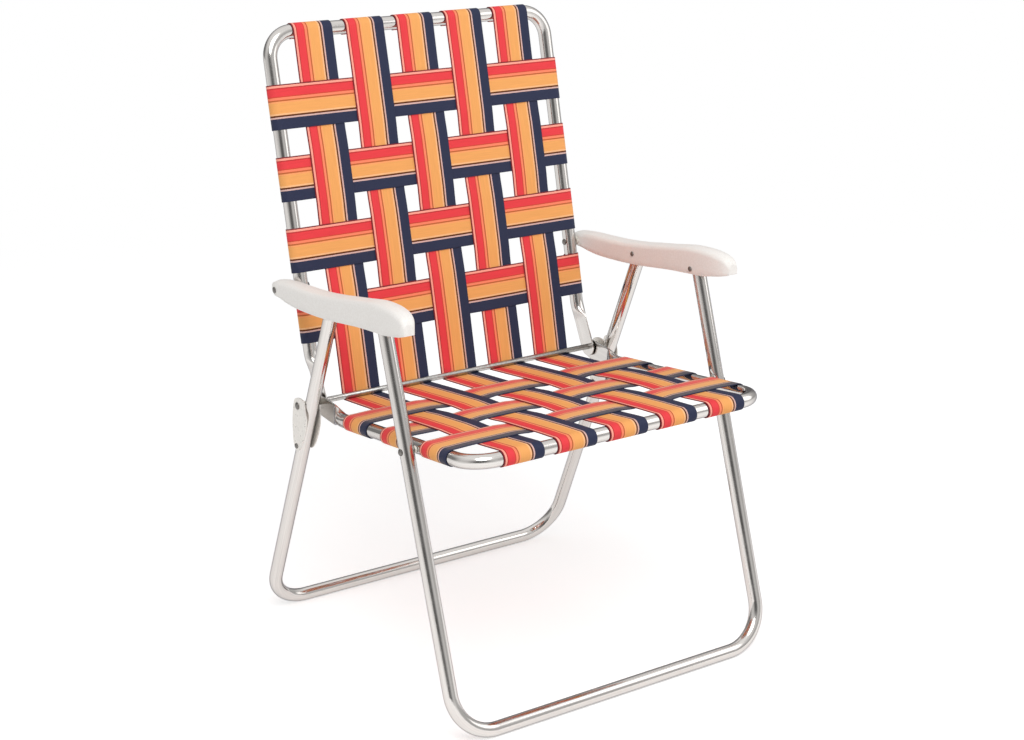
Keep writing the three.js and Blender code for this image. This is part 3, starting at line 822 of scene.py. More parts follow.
back_knee_run = back.along_of(arm_rear) + BACK_KNEE_SHARE * (hinge - arm_rear).length
seat_knee_run = seat.along_of(seat_pivot) + SEAT_KNEE_SHARE * (hinge - seat_pivot).length
seat_hole = hinge - Vector((0, 0, SEAT_HOLE_RISE))
body_frame("back_frame", back, back_lane, back_knee_run, BACK_KNEE_RADIUS, hinge)
body_frame("seat_frame", seat, seat_lane, seat_knee_run, SEAT_KNEE_RADIUS, seat_hole)

# %% [markdown]
# ## The weave
# Every strap starts in a wrap round a tube, runs level over and under the straps it crosses, and
# ends in another wrap. The strap's middle line is worked out in the side view of its panel, from the
# places of the CAD straps. Over a crossing it stands half a strap and half a gap high, and it eases
# from one crossing to the next.

# %% Find the crossings
strap_low, strap_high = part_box("back_long_strap_3")
STRAP_WIDTH = strap_high.x - strap_low.x
STRAP_THICKNESS = 0.0013
WEAVE_GAP = 0.00035
WEAVE_RISE = (STRAP_THICKNESS + WEAVE_GAP) / 2
CROSSING_MARGIN = 0.001
HALF_CROSSING = STRAP_WIDTH / 2 + CROSSING_MARGIN


def numbered(stem):
    return sorted(node for node in body_of if node.startswith(stem))


long_places = [middle(node).x for node in numbered("back_long_strap_")]
row_places = {
    panel.name: [panel.along_of(middle(node)) for node in numbered(panel.name + "_cross_strap_")]
    for panel in (back, seat)
}


def cross_is_over(column, row):
    return (column + row) % 2 == 0


print("straps:", len(long_places), "long,", {name: len(rows) for name, rows in row_places.items()})

# %% Wrap and weave a line
FIT_GAP = 0.0003
WRAP_RADIUS = TUBE_RADIUS + FIT_GAP + STRAP_THICKNESS / 2
WRAP_TURN = math.radians(255)
WRAP_STEPS = 34
LINE_STEP = 0.006


def wrap(centre, side):
    """Round a tube from the strap's own end to where it leaves towards `side`, as (place, height)."""
    line = []
    for step in range(WRAP_STEPS + 1):
        angle = WRAP_TURN * (1 - step / WRAP_STEPS)
        line.append((centre - side * WRAP_RADIUS * math.sin(angle), WRAP_RADIUS * math.cos(angle)))
    return line


def weave_line(start, crossings, end):
    """Level over or under each crossing, eased between them, with a point every few millimetres."""
    knots = [start]
    for place, over in crossings:
        height = WRAP_RADIUS + (WEAVE_RISE if over else -WEAVE_RISE)
        knots += [(place - HALF_CROSSING, height), (place + HALF_CROSSING, height)]
    knots += [end] if end else []
    line = []
    for (from_place, from_height), (to_place, to_height) in zip(knots, knots[1:]):
        steps = max(1, round((to_place - from_place) / LINE_STEP))
        for step in range(steps):
            share = step / steps
            height = blend_between(from_height, to_height, smooth_step(share))
            line.append((blend_between(from_place, to_place, share), height))
    return [*line, knots[-1]]


print("wrap:", round(WRAP_RADIUS, 5), "m from the tube's middle")

# %% [markdown]
# A cross strap has a wrap at both ends and the weave between them. A long strap does more: it runs up
# the seat, turns behind the hinge rod and goes on up the back, in one piece. Between its last
# crossings and the rod it is straight, and it touches the rod without a corner, so the touching
# points are those where a straight line just meets a circle.

# %% Draw the straps' lines
ROD_RADIUS = 0.00475
CREASE_RADIUS = ROD_RADIUS + FIT_GAP + STRAP_THICKNESS / 2
CREASE_STEPS = 16


def touch(point, centre, radius, way):
    """Where a straight line from a point meets a circle's edge, passing on the side given by way."""
    reach = centre - point
    swing = way * math.asin(radius / reach.length)
    run = math.sqrt(reach.length_squared - radius * radius)
    turned = Vector((
        0,
        reach.y * math.cos(swing) - reach.z * math.sin(swing),
        reach.y * math.sin(swing) + reach.z * math.cos(swing),
    ))
    return point + turned.normalized() * run


def straight(first, last):
    steps = max(1, round((last - first).length / LINE_STEP))
    return [first.lerp(last, step / steps) for step in range(1, steps)]


def panel_half(panel, column):
    """The long strap's line on one panel, from its own end to its last crossing."""
    crossings = [
        (place, not cross_is_over(column, row)) for row, place in enumerate(row_places[panel.name])
    ]
    line = [*wrap(0, 1)[:-1], *weave_line((0, WRAP_RADIUS), crossings, None)]
    return [panel.point(0, along, above) for along, above in line]


def long_line(column):
    seat_part = panel_half(seat, column)
    back_part = panel_half(back, column)
    under = touch(seat_part[-1], hinge, CREASE_RADIUS, -1)
    behind = touch(back_part[-1], hinge, CREASE_RADIUS, 1)
    first = math.atan2(under.z - hinge.z, under.y - hinge.y)
    last = math.atan2(behind.z - hinge.z, behind.y - hinge.y)
    crease = []
    for step in range(CREASE_STEPS + 1):
        angle = blend_between(first, last, step / CREASE_STEPS)
        crease.append(hinge + Vector((0, math.cos(angle), math.sin(angle))) * CREASE_RADIUS)
    approach = straight(seat_part[-1], under)
    leaving = straight(behind, back_part[-1])
    return [*seat_part, *approach, *crease, *leaving, *reversed(back_part)]


def cross_line(panel, lane, row):
    crossings = [
        (place + lane, cross_is_over(column, row)) for column, place in enumerate(long_places)
    ]
    level = weave_line((0, WRAP_RADIUS), crossings, (2 * lane, WRAP_RADIUS))
    line = [*wrap(0, 1)[:-1], *level, *reversed(wrap(2 * lane, -1)[:-1])]
    along = row_places[panel.name][row]
    return [panel.point(place - lane, along, above) for place, above in line]


middle_line = long_line(len(long_places) // 2)
runs = [(after - before).length for before, after in zip(middle_line, middle_line[1:])]
print("middle strap:", round(sum(runs), 3), "m long")

# %% [markdown]
# ## Straps
# A strap is a ribbon that follows its line and always lies flat across it. Set Curve Normal pins the
# ribbon's width to one direction, and Curve to Mesh sweeps a short straight line along the strap's
# own. The sweep knows how far along and how far across each point is, and that becomes the UV map.
# Solidify then gives the thickness, and Bevel rounds the selvedges. A long strap crosses the hinge,
# so its line turns round the rod from the seat to the back.

# %% Plan a strap
STRAP_COLUMNS = 14


def strap_tree():
    tree, given = geometry_tree(
        "strap",
        width=STRAP_WIDTH,
        columns=STRAP_COLUMNS,
        across=ACROSS.copy(),
        material=striped_webbing,
    )
    line = add_node(tree, "GeometryNodeMeshToCurve", {"Mesh": given["Geometry"]})
    pinned = {"Curve": line, "Normal": given["across"]}
    level = add_node(tree, "GeometryNodeSetCurveNormal", pinned, mode="FREE")
    parameter = add_node(tree, "GeometryNodeSplineParameter")
    measured = store(tree, level, "run", parameter.outputs["Length"])
    half_width = calculate(tree, "MULTIPLY", given["width"], 0.5)
    other_half = calculate(tree, "MULTIPLY", half_width, -1.0)
    first = add_node(tree, "ShaderNodeCombineXYZ", {"X": other_half})
    last = add_node(tree, "ShaderNodeCombineXYZ", {"X": half_width})
    edge = add_node(tree, "GeometryNodeCurvePrimitiveLine", {"Start": first, "End": last})
    points = calculate(tree, "ADD", given["columns"], 1.0)
    divided = add_node(tree, "GeometryNodeResampleCurve", {"Curve": edge, "Count": points})
    side = add_node(tree, "GeometryNodeSplineParameter")
    marked = store(tree, divided, "side", side.outputs["Factor"])
    ribbon = add_node(tree, "GeometryNodeCurveToMesh", {"Curve": measured, "Profile Curve": marked})
    widths = calculate(tree, "DIVIDE", stored(tree, "run"), given["width"])
    chart = add_node(tree, "ShaderNodeCombineXYZ", {"X": stored(tree, "side"), "Y": widths})
    charted = store(tree, ribbon, "strap_uv", chart, "FLOAT2", "CORNER")
    end_tree(tree, charted, given["material"])
    return tree


strap_ribbon = strap_tree()
print("strap tree:", len(strap_ribbon.nodes), "nodes")

# %% Weave the long straps
SELVEDGE_RADIUS = 0.0004
SELVEDGE_DEGREES = 60


def strap(name, line, across, material=striped_webbing):
    piece = grow(name, chain(line), strap_ribbon, across=across, material=material)
    give_thickness(piece, "thickness", STRAP_THICKNESS, BOTH_WAYS)
    round_edges(piece, "selvedge", SELVEDGE_RADIUS, SELVEDGE_DEGREES)
    return piece


for column, place in enumerate(long_places):
    number = column + 1
    line = [point + ACROSS * place for point in long_line(column)]
    piece = strap(f"long_strap_{number}", line, ACROSS)
    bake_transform(piece)
    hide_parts(f"seat_long_strap_{number}", f"back_long_strap_{number}")
    print(piece.name, "blends from seat to back with", len(piece.data.polygons), "faces")

# %% [markdown]
# The cross straps go from side to side over the rails. Their stripes start on the upper edge on the
# back and on the rear edge on the seat, and that is what the direction across the strap settles.

# %% Weave the cross straps
for panel, lane, across, material in (
    (back, back_lane, back.along, striped_webbing),
    (seat, seat_lane, -seat.along, crosswise_webbing),
):
    for row in range(len(row_places[panel.name])):
        node = f"{panel.name}_cross_strap_{row + 1}"
        piece = strap(f"{panel.name}_row_{row + 1}", cross_line(panel, lane, row), across, material)
        settle(piece, panel.name, "webbing", node)

# %% [markdown]
# ## Armrests
# An armrest is one moulding, an upturned channel that sits over the leg tops. Seen from the side it
# is slim at the back, swells towards the front and curls down at the nose, where it also turns
# outwards a little. A short table describes it from back to front. Each row says how far along it
# is, how high the top and the lower edge are, how wide the armrest is there, and how far it has
# turned outwards, all as shares. A smooth curve then runs through the rows.

# %% Draw the armrest's outline
ARM_SUBSTEPS = 6
ARM_OUTLINE_SHARES = [
    (0, 0.28, 0.1, 0.8, 0),
    (0.012, 0.33, -0.02, 0.93, 0),
    (0.035, 0.38, -0.21, 1, 0),
    (0.08, 0.41, -0.28, 1, 0),
    (0.13, 0.43, -0.38, 1, 0),
    (0.21, 0.43, -0.47, 1, 0),
    (0.35, 0.46, -0.49, 1, 0),
    (0.47, 0.56, -0.45, 1, 0),
    (0.56, 0.67, -0.38, 1, 0),
    (0.68, 0.82, -0.28, 1, 0),
    (0.78, 0.95, -0.24, 1, 0.02),
    (0.87, 0.95, -0.21, 0.98, 0.08),
    (0.93, 0.88, -0.13, 0.92, 0.16),
    (0.965, 0.78, -0.08, 0.82, 0.24),
    (0.985, 0.66, -0.04, 0.7, 0.31),
    (1, 0.44, 0, 0.5, 0.38),
]


def through(before, first, last, after, share):
    """A place on a smooth curve from first to last, whose slopes follow the rows on both sides."""
    return [
        (
            2 * b
            + (c - a) * share
            + (2 * a - 5 * b + 4 * c - d) * share**2
            + (3 * b - a - 3 * c + d) * share**3
        )
        / 2
        for a, b, c, d in zip(before, first, last, after)
    ]


def smooth_rows(rows, steps, closed=False):
    """The rows with `steps` steps from each to the next, on one smooth curve."""
    count = len(rows)
    spans = count if closed else count - 1
    smooth = []
    for span in range(spans):
        if closed:
            near = [rows[(span + offset) % count] for offset in (-1, 0, 1, 2)]
        else:
            near = [rows[min(max(span + offset, 0), count - 1)] for offset in (-1, 0, 1, 2)]
        smooth += [through(*near, step / steps) for step in range(steps)]
    return smooth if closed else [*smooth, list(rows[-1])]


arm_rows = smooth_rows(ARM_OUTLINE_SHARES, ARM_SUBSTEPS)
print("armrest:", len(ARM_OUTLINE_SHARES), "rows drawn,", len(arm_rows), "with those between")

# %% [markdown]
# Each row becomes a cross-section: two skirts, rounded shoulders and a slightly crowned top. The skin
# stays open below, so Solidify can give the wall its thickness, and weighted normals keep the open
# edge from tilting the shading.

# %% Loft the armrests
ARM_HEIGHT = 0.036
ARM_WALL = 0.0026
ARM_EDGE_RADIUS = 0.008
ARM_EDGE_SHARE = 0.8
ARM_CROWN = 0.0014
ARM_EDGE_STEPS = 8
ARM_TOP_STEPS = 6
ARM_WALL_STEPS = 3


def arm_section(row, box):
    along, top_share, lower_share, width_share, outward_share = row
    low, high = box
    y = blend_between(high.y, low.y, along)
    slope = (arm_front.z - arm_rear.z) / (arm_front.y - arm_rear.y)
    pivot_line = arm_rear.z + slope * (y - arm_rear.y)
    top = pivot_line + top_share * ARM_HEIGHT
    lower = pivot_line + lower_share * ARM_HEIGHT
    half_width = (high.x - low.x) / 2
    reach = half_width * width_share
    edge = min(ARM_EDGE_RADIUS, ARM_EDGE_SHARE * (top - lower))
    half = []
    for step in range(ARM_WALL_STEPS):
        half.append((reach, blend_between(lower, top - edge, step / ARM_WALL_STEPS)))
    for step in range(ARM_EDGE_STEPS + 1):
        angle = QUARTER_TURN * step / ARM_EDGE_STEPS
        half.append((reach - edge * (1 - math.cos(angle)), top - edge * (1 - math.sin(angle))))
    flat = reach - edge
    for step in range(1, ARM_TOP_STEPS + 1):
        share = step / ARM_TOP_STEPS
        half.append((flat * (1 - share), top + ARM_CROWN * (1 - (1 - share) ** 2)))
    other = [(-x, z) for x, z in reversed(half[:-1])]
    centre = (low.x + high.x) / 2
    centre += math.copysign(half_width * outward_share, centre)
    return [Vector((centre + x, y, z)) for x, z in [*half, *other]]


def armrest(node):
    rings = [arm_section(row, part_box(node)) for row in arm_rows]
    mesh = loft(rings, ring_is_closed=False)
    piece = new_piece(node + "_moulding", mesh, armrest_plastic)
    face_outwards(piece)
    give_thickness(piece, "wall", ARM_WALL, INWARDS)
    piece.modifiers.new("even_skin", "WEIGHTED_NORMAL")
    settle(piece, body_of[node], "armrest_plastic", node)


for node in both_sides("armrest"):
    armrest(node)

# %% [markdown]
# ## Folding links
# A pair of stamped plates on each side ties the rear leg to the hinge, one on each face of the leg.
# A stamped plate is its outline pushed through the sheet's thickness, with its edges slightly
# rounded by the tool. The outline is a closed smooth curve through a few points, measured beside and
# along the line between the plate's two holes, as shares of the distance between them.

# %% Stamp the link plates
LINK_OUTLINE_SHARES = [
    (-0.17, -0.06),
    (-0.05, -0.18),
    (0.14, -0.235),
    (0.31, -0.2),
    (0.37, -0.04),
    (0.435, 0.19),
    (0.42, 0.41),
    (0.31, 0.75),
    (0.18, 0.99),
    (0.02, 1.11),
    (-0.13, 0.98),
    (-0.19, 0.7),
    (-0.215, 0.36),
]
LINK_SUBSTEPS = 6
LINK_EDGE_RADIUS = 0.0004
LINK_EDGE_DEGREES = 50


def link_plate(node):
    low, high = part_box(node)
    down = link_pivot - hinge
    frontward = down.cross(ACROSS)
    outline = smooth_rows(LINK_OUTLINE_SHARES, LINK_SUBSTEPS, closed=True)
    face = [hinge + frontward * front + down * far for front, far in outline]
    mesh = loft([[point + ACROSS * x for point in face] for x in (low.x, high.x)])
    piece = new_piece(node.replace("plate", "stamping"), mesh, stamped_steel)
    face_outwards(piece)
    round_edges(piece, "edges", LINK_EDGE_RADIUS, LINK_EDGE_DEGREES)
    piece.modifiers.new("flat_faces", "WEIGHTED_NORMAL")
    settle(piece, body_of[node], "hardware", node)


for node in (*both_sides("link_plate_inner"), *both_sides("link_plate_outer")):
    link_plate(node)

# %% [markdown]
# ## Rivets
# A rivet is a pin with a low domed head on each side of what it holds. A blind rivet, set from one
# side only, shows one head. All of them are one recipe on different lines: the line from one head to
# the other end. The tree sweeps a thin pin along each line and puts a head on the ends that have one,
# turned to look outwards. The head is a sphere squashed to a dome, with everything below its rim
# pushed up to a flat face.

# %% Plan the rivets
PIN_RADIUS = 0.0031
HEAD_RADIUS = 0.00525
HEAD_HEIGHT = 0.0021
PIN_SIDES = 20
HEAD_SEGMENTS = 28
HEAD_RINGS = 14


def rivet_head(tree, radius, height):
    """A ball of radius 1, squashed to a dome that stands on a flat face."""
    sizes = {"Segments": HEAD_SEGMENTS, "Rings": HEAD_RINGS, "Radius": 1.0}
    ball = add_node(tree, "GeometryNodeMeshUVSphere", sizes)
    position = add_node(tree, "GeometryNodeInputPosition")
    place = add_node(tree, "ShaderNodeSeparateXYZ", {"Vector": position}).outputs
    above = calculate(tree, "MAXIMUM", place["Z"], 0.0)
    domed = {
        "X": calculate(tree, "MULTIPLY", place["X"], radius),
        "Y": calculate(tree, "MULTIPLY", place["Y"], radius),
        "Z": calculate(tree, "MULTIPLY", above, height),
    }
    moved = add_node(tree, "ShaderNodeCombineXYZ", domed)
    return add_node(tree, "GeometryNodeSetPosition", {"Geometry": ball, "Position": moved})


def heads_on(tree, line, head, chosen, way):
    """The head on the chosen ends of the lines, turned along the line or back along it."""
    ends = add_node(tree, "GeometryNodeCurveEndpointSelection", chosen)
    tangent = add_node(tree, "GeometryNodeInputTangent")
    outwards = add_node(tree, "ShaderNodeVectorMath", {0: tangent, "Scale": way}, operation="SCALE")
    facing = add_node(tree, "FunctionNodeAlignRotationToVector", {"Vector": outwards}, axis="Z")
    placing = {"Points": line, "Selection": ends, "Instance": head, "Rotation": facing}
    return add_node(tree, "GeometryNodeInstanceOnPoints", placing)


def rivet_tree():
    tree, given = geometry_tree(
        "rivets",
        pin_radius=PIN_RADIUS,
        head_radius=HEAD_RADIUS,
        head_height=HEAD_HEIGHT,
        far_heads=1,
        material=rivet_steel,
    )
    line = add_node(tree, "GeometryNodeMeshToCurve", {"Mesh": given["Geometry"]})
    section = {"Resolution": PIN_SIDES, "Radius": given["pin_radius"]}
    ring = add_node(tree, "GeometryNodeCurvePrimitiveCircle", section)
    sweep = {"Curve": line, "Profile Curve": ring, "Fill Caps": True}
    pin = add_node(tree, "GeometryNodeCurveToMesh", sweep)
    head = rivet_head(tree, given["head_radius"], given["head_height"])
    near = heads_on(tree, line, head, {"Start Size": 1, "End Size": 0}, -1.0)
    far = heads_on(tree, line, head, {"Start Size": 0, "End Size": given["far_heads"]}, 1.0)
    joined = add_node(tree, "GeometryNodeJoinGeometry")
    for part in (pin, near, far):
        tree.links.new(part.outputs[0], joined.inputs[0])
    end_tree(tree, joined, given["material"])
    return tree


rivet_pattern = rivet_tree()
print("rivet tree:", len(rivet_pattern.nodes), "nodes")

# %% Drive the rivets
ARM_HEAD_RADIUS = 0.0041
LINK_HEAD_RADIUS = 0.0043
LOW_HEAD_HEIGHT = 0.0012


def pin_line(node, heads, height):
    """The line between the flat faces of a rivet's heads, or from its one head to its blind end."""
    low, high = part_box(node)
    centre = side_view((low + high) / 2)
    inner, outer = sorted((low.x, high.x), key=abs)
    first, last = (outer, inner) if heads == "outer" else (inner, outer)
    rise = math.copysign(height, last - first)
    far_end = last - rise if heads == "both" else last
    return [centre + ACROSS * (first + rise), centre + ACROSS * far_end]


def rivets(name, body, stem, heads="both", radius=HEAD_RADIUS, height=HEAD_HEIGHT):
    """The rivets of one kind on both sides, with heads on both ends, or on the inner or outer one."""
    nodes = both_sides(stem)
    lines = [pin_line(node, heads, height) for node in nodes]
    sizes = {"head_radius": radius, "head_height": height, "far_heads": int(heads == "both")}
    piece = grow(name, chain(*lines), rivet_pattern, **sizes)
    face_outwards(piece)
    settle(piece, body, "hardware", *nodes)


rivets("arm_rear_rivets", "arms", "arm_rear_rivet")
rivets("arm_middle_rivets", "arms", "arm_middle_rivet", "inner", ARM_HEAD_RADIUS)
rivets("arm_front_rivets", "arms", "arm_front_rivet", "inner", ARM_HEAD_RADIUS)
rivets("seat_leg_rivets", "seat", "seat_leg_rivet")
rivets("link_rivets_outer", "links", "link_stud_outer", "outer", LINK_HEAD_RADIUS)
rivets("link_rivets_inner", "links", "link_stud_inner", "inner", LINK_HEAD_RADIUS, LOW_HEAD_HEIGHT)

# %% [markdown]
# ## Hinge rod and washers
# The rod that the straps turn behind is a turned piece: thick between the frames, then a shoulder, a
# thinner pin through the flat ends, and a head. The washers and sleeves on it are turned as well. A
# turned piece is a profile of radius and place, carried once round the axis, so one function lathes
# them all. Each profile has small chamfers, because a real edge always catches a little light.

# %% Set up the lathe
LATHE_STEPS = 40
CHAMFER = 0.0003


def turned_ring(shape, axis_place, radius, x):
    """One circle of points round an X axis, added to the shape."""
    ring = []
    for step in range(LATHE_STEPS):
        angle = FULL_TURN * step / LATHE_STEPS
        y = axis_place.y + radius * math.cos(angle)
        z = axis_place.z + radius * math.sin(angle)
        ring.append(shape.verts.new((x, y, z)))
    return ring


def lathe(axis_places, profiles, closed):
    """Turned pieces on X axes: a closed profile makes a tube, any other gets a face on each end."""
    shape = bmesh.new()
    for axis_place, profile in zip(axis_places, profiles):
        rings = [turned_ring(shape, axis_place, radius, x) for radius, x in profile]
        next_rings = rings[1:] + rings[:1] if closed else rings[1:]
        for near, far in zip(rings, next_rings):
            for step in range(LATHE_STEPS):
                after = (step + 1) % LATHE_STEPS
                shape.faces.new((near[step], near[after], far[after], far[step]))
        if not closed:
            shape.faces.new(rings[0])
            shape.faces.new(rings[-1])
    bmesh.ops.recalc_face_normals(shape, faces=shape.faces)
    mesh = bpy.data.meshes.new("turned")
    shape.to_mesh(mesh)
    shape.free()
    return mesh


print("lathe:", LATHE_STEPS, "steps round")

# %% Turn the hinge rod
ROD_SHOULDER = 0.261
ROD_HEAD_RADIUS = 0.006
ROD_HEAD_STEPS = 6


def head_profile(start):
    """A low dome on the plane at `start`, from its rim to a small flat round the axis."""
    profile = []
    for step in range(ROD_HEAD_STEPS + 1):
        angle = QUARTER_TURN * step / ROD_HEAD_STEPS
        radius = max(ROD_HEAD_RADIUS * math.cos(angle), CHAMFER)
        profile.append((radius, start + HEAD_HEIGHT * math.sin(angle)))
    return profile


rod_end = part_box("hinge_rod")[1].x - HEAD_HEIGHT
rod_half = [
    (ROD_RADIUS, ROD_SHOULDER - CHAMFER),
    (ROD_RADIUS - CHAMFER, ROD_SHOULDER),
    (PIN_RADIUS, ROD_SHOULDER),
    (PIN_RADIUS, rod_end),
    *head_profile(rod_end),
]
rod_profile = [*((radius, -x) for radius, x in reversed(rod_half)), *rod_half]
rod = new_piece("hinge_bar", lathe([hinge], [rod_profile], closed=False), plated_steel)
rod.data.materials.append(rivet_steel)
for face in rod.data.polygons:
    face.material_index = int(abs(face.center.x) > rod_end)
settle(rod, "seat", "hardware", "hinge_rod")

# %% Turn the washers and sleeves
SPACER_STEMS = {
    "arm_washers": "arm_rear_washer",
    "seat_leg_collars": "seat_leg_collar",
    "hinge_washers": "hinge_washer",
    "hinge_sleeves_inner": "hinge_sleeve_inner",
    "hinge_sleeves_outer": "hinge_sleeve_outer",
}


def spacer_profile(low, high):
    outer = (high.z - low.z) / 2
    bore = PIN_RADIUS + FIT_GAP
    return [
        (bore, low.x + CHAMFER),
        (bore + CHAMFER, low.x),
        (outer - CHAMFER, low.x),
        (outer, low.x + CHAMFER),
        (outer, high.x - CHAMFER),
        (outer - CHAMFER, high.x),
        (bore + CHAMFER, high.x),
        (bore, high.x - CHAMFER),
    ]


for name, stem in SPACER_STEMS.items():
    nodes = both_sides(stem)
    profiles = [spacer_profile(*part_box(node)) for node in nodes]
    mesh = lathe([middle(node) for node in nodes], profiles, closed=True)
    settle(new_piece(name, mesh, plain_nylon), body_of[nodes[0]], "nylon", *nodes)

# %% [markdown]
# ## Studio
# The chair stands on a white floor in soft light. The world lights it evenly from all sides, and two
# large round lamps give it a bright side and a soft shadow. Polished tube shows what stands round it,
# though, and a metal that mirrors only white looks like plaster. So the rays that metal sends out see
# a white studio with a few darker panels in it: a strip of tones once round the chair, which fades to
# white overhead. The camera itself sees plain white.

# %% Hang the studio's panels
WHITE = (1, 1, 1, 1)
CAMERA_AZIMUTH = math.radians(-34.640)
PANEL_TONES = [
    (0, 0.32),
    (14, 0.32),
    (26, 0.5),
    (42, 0.26),
    (84, 0.26),
    (100, 0.58),
    (112, 0.74),
    (134, 0.7),
    (150, 0.42),
    (164, 0.15),
    (186, 0.12),
    (198, 0.26),
    (212, 0.62),
    (226, 0.7),
    (242, 0.55),
    (300, 0.52),
    (326, 0.68),
    (338, 0.5),
    (350, 0.32),
    (360, 0.32),
]
PANEL_FADE = (0.35, 0.8)


def fade_range(tree, value, fade):
    """0 up to the first number of the fade, 1 from its second one on."""
    inputs = {"Value": value, "From Min": fade[0], "From Max": fade[1]}
    return add_node(tree, "ShaderNodeMapRange", inputs).outputs["Result"]


def studio_panels(tree):
    """Tones by degrees: 0 is beyond the chair, 90 to the left and 180 on the camera's side."""
    direction = add_node(tree, "ShaderNodeTexCoord").outputs["Generated"]
    turn_back = {"Vector": direction, "Angle": -CAMERA_AZIMUTH}
    turned = add_node(tree, "ShaderNodeVectorRotate", turn_back, rotation_type="Z_AXIS")
    parts = add_node(tree, "ShaderNodeSeparateXYZ", {"Vector": turned}).outputs
    nearwards = calculate(tree, "MULTIPLY", parts["Y"], -1.0)
    angle = calculate(tree, "ARCTAN2", parts["X"], nearwards)
    share = calculate(tree, "MULTIPLY_ADD", angle, 1 / FULL_TURN, 0.5)
    stops = [(degrees / 360, (level, level, level, 1)) for degrees, level in PANEL_TONES]
    tones = colour_ramp(tree, share, stops)
    mixing = {"Factor": fade_range(tree, parts["Z"], PANEL_FADE), "A": tones, "B": WHITE}
    return add_node(tree, "ShaderNodeMix", mixing, data_type="RGBA").outputs["Result"]


print("panels:", len(PANEL_TONES), "tones round the chair")

# %% Build the world
WORLD_LEVEL = 0.6

scene.view_settings.view_transform = "Standard"
world = bpy.data.worlds.new("studio")
scene.world = world
world.use_nodes = True
sky = world.node_tree
sky.nodes.clear()


def ray_share(tree):
    """1 for the rays that see the backdrop: straight from the camera, mirrored or let through."""
    path = add_node(tree, "ShaderNodeLightPath").outputs
    mirrored = calculate(tree, "MAXIMUM", path["Is Camera Ray"], path["Is Glossy Ray"])
    return calculate(tree, "MAXIMUM", mirrored, path["Is Transmission Ray"])


def background(colour, strength):
    return add_node(sky, "ShaderNodeBackground", {"Color": colour, "Strength": strength})


ambient = background(WHITE, WORLD_LEVEL)
white = background(WHITE, 1.0)
panels = background(studio_panels(sky), 1.0)
in_metal = add_node(sky, "ShaderNodeLightPath").outputs["Is Glossy Ray"]
backdrop = add_node(sky, "ShaderNodeMixShader", {0: in_metal, 1: white, 2: panels})
either = add_node(sky, "ShaderNodeMixShader", {0: ray_share(sky), 1: ambient, 2: backdrop})
add_node(sky, "ShaderNodeOutputWorld", {"Surface": either})
print("world:", len(sky.nodes), "nodes")

# %% [markdown]
# A lamp's level says how bright it makes a white surface that faces it in the middle of the chair. A
# lamp of P watts, d metres away, gives such a surface P / (pi * d) ** 2. The power is worked out from
# that, so a lamp can be moved without changing its level.

# %% Hang the lamps
LAMPS = {
    "key_lamp": {"place": Vector((-1.2, -2.1, 3.3)), "width": 2.6, "level": 0.46},
    "fill_lamp": {"place": Vector((2.3, -1.4, 1.9)), "width": 2.4, "level": 0.17},
}
CHAIR_MIDDLE = Vector((0, 0, 0.45))

for name, lamp in LAMPS.items():
    reach = CHAIR_MIDDLE - lamp["place"]
    light = bpy.data.lights.new(name, "AREA")
    light.shape = "DISK"
    light.size = lamp["width"]
    light.energy = lamp["level"] * math.pi**2 * reach.length_squared
    holder = bpy.data.objects.new(name, light)
    holder.location = lamp["place"]
    holder.rotation_euler = reach.to_track_quat("-Z", "Y").to_euler()
    scene.collection.objects.link(holder)
    print(name, "has", round(light.energy, 1), "W")

# %% [markdown]
# ## Floor
# The floor is a disc that reaches to the horizon. Near the chair it is matt, so it takes the shadow,
# and it glows a little, so that it is white in the picture without more light on the chair. Farther
# out the lamps no longer reach it, so there it turns into plain white. Seen from below it is clear.

# %% Lay the floor
FLOOR_RADIUS = 60.0
FLOOR_STEPS = 96

floor_points = []
for step in range(FLOOR_STEPS):
    angle = FULL_TURN * step / FLOOR_STEPS
    floor_points.append((FLOOR_RADIUS * math.cos(angle), FLOOR_RADIUS * math.sin(angle), 0))
floor_mesh = bpy.data.meshes.new("floor")
floor_mesh.from_pydata(floor_points, [], [tuple(range(FLOOR_STEPS))])
floor = bpy.data.objects.new("floor", floor_mesh)
scene.collection.objects.link(floor)
print("floor:", FLOOR_RADIUS, "m")

# %% Paint the floor
FLOOR_GLOW = 0.4
FLOOR_FADE = (1.3, 3.2)
FLOOR_TONE = (0.86, 0.86, 0.86, 1)

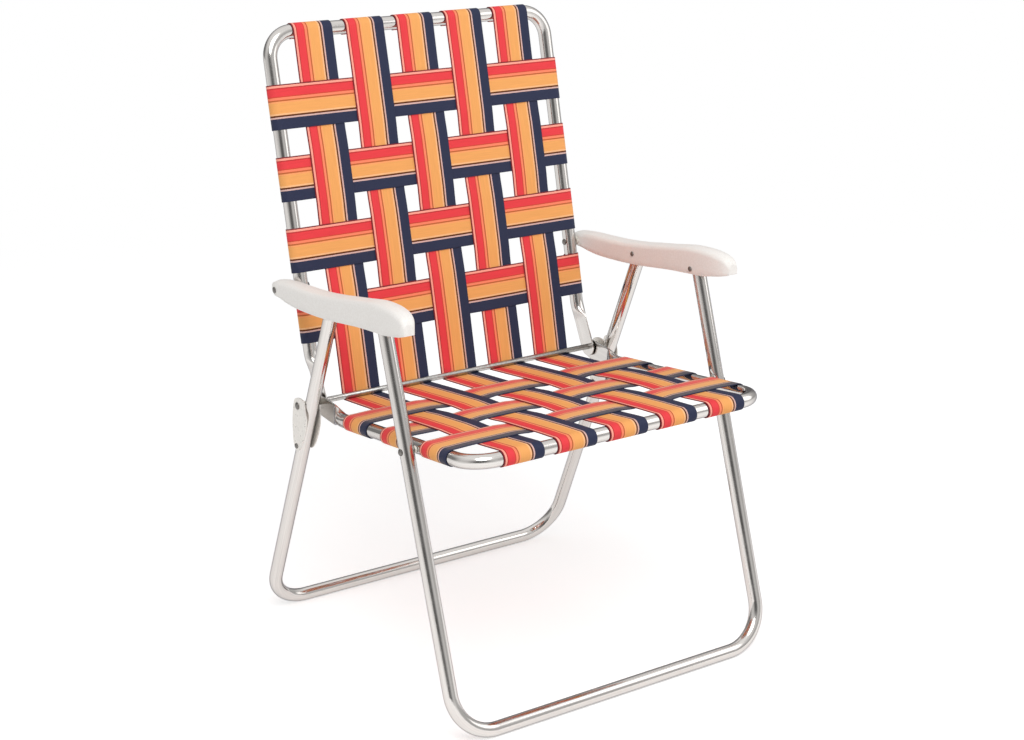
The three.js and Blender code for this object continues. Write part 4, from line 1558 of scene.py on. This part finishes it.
ground = bpy.data.materials.new("pale_floor")
ground.use_nodes = True
layers = ground.node_tree
layers.nodes.clear()
looking = ray_share(layers)
spot = add_node(layers, "ShaderNodeNewGeometry").outputs
matt = add_node(layers, "ShaderNodeBsdfDiffuse", {"Color": FLOOR_TONE})
glow_level = calculate(layers, "MULTIPLY", looking, FLOOR_GLOW)
glow = add_node(layers, "ShaderNodeEmission", {"Color": WHITE, "Strength": glow_level})
near = add_node(layers, "ShaderNodeAddShader", {0: matt, 1: glow})
away = add_node(layers, "ShaderNodeVectorMath", {0: spot["Position"]}, operation="LENGTH")
fade = fade_range(layers, away.outputs["Value"], FLOOR_FADE)
far = add_node(layers, "ShaderNodeEmission", {"Color": WHITE, "Strength": 1.0})
far_share = calculate(layers, "MULTIPLY", fade, looking)
top = add_node(layers, "ShaderNodeMixShader", {0: far_share, 1: near, 2: far})
clear = add_node(layers, "ShaderNodeBsdfTransparent")
straight_on = add_node(layers, "ShaderNodeLightPath").outputs["Is Camera Ray"]
seen_from_below = calculate(layers, "MULTIPLY", spot["Backfacing"], straight_on)
surface = add_node(layers, "ShaderNodeMixShader", {0: seen_from_below, 1: top, 2: clear})
add_node(layers, "ShaderNodeOutputMaterial", {"Surface": surface})
floor_mesh.materials.append(ground)
print("finish:", ground.name)

# %% [markdown]
# ## Camera
# The photograph was taken from the front and one side, from somewhat higher than the chair's back,
# with a fairly long lens. The azimuth, elevation, distance and lens come from a fit to points picked
# in the photograph, most of them along the tubes. The camera is placed on that line of sight
# and turned to look back along it.

# %% Place the camera
CAMERA_TARGET = Vector((-0.00005, -0.0021, 0.4505))
CAMERA_ELEVATION = math.radians(17.515)
CAMERA_DISTANCE = 3.0148
CAMERA_LENS = 66.55
SENSOR_WIDTH = 36.0

towards_camera = Vector((
    math.sin(CAMERA_AZIMUTH) * math.cos(CAMERA_ELEVATION),
    -math.cos(CAMERA_AZIMUTH) * math.cos(CAMERA_ELEVATION),
    math.sin(CAMERA_ELEVATION),
))
camera_data = bpy.data.cameras.new("camera")
camera_data.sensor_width = SENSOR_WIDTH
camera_data.lens = CAMERA_LENS
camera = bpy.data.objects.new("camera", camera_data)
camera.location = CAMERA_TARGET + towards_camera * CAMERA_DISTANCE
camera.rotation_euler = (-towards_camera).to_track_quat("-Z", "Y").to_euler()
scene.collection.objects.link(camera)
scene.camera = camera
print("camera:", [round(value, 3) for value in camera.location])
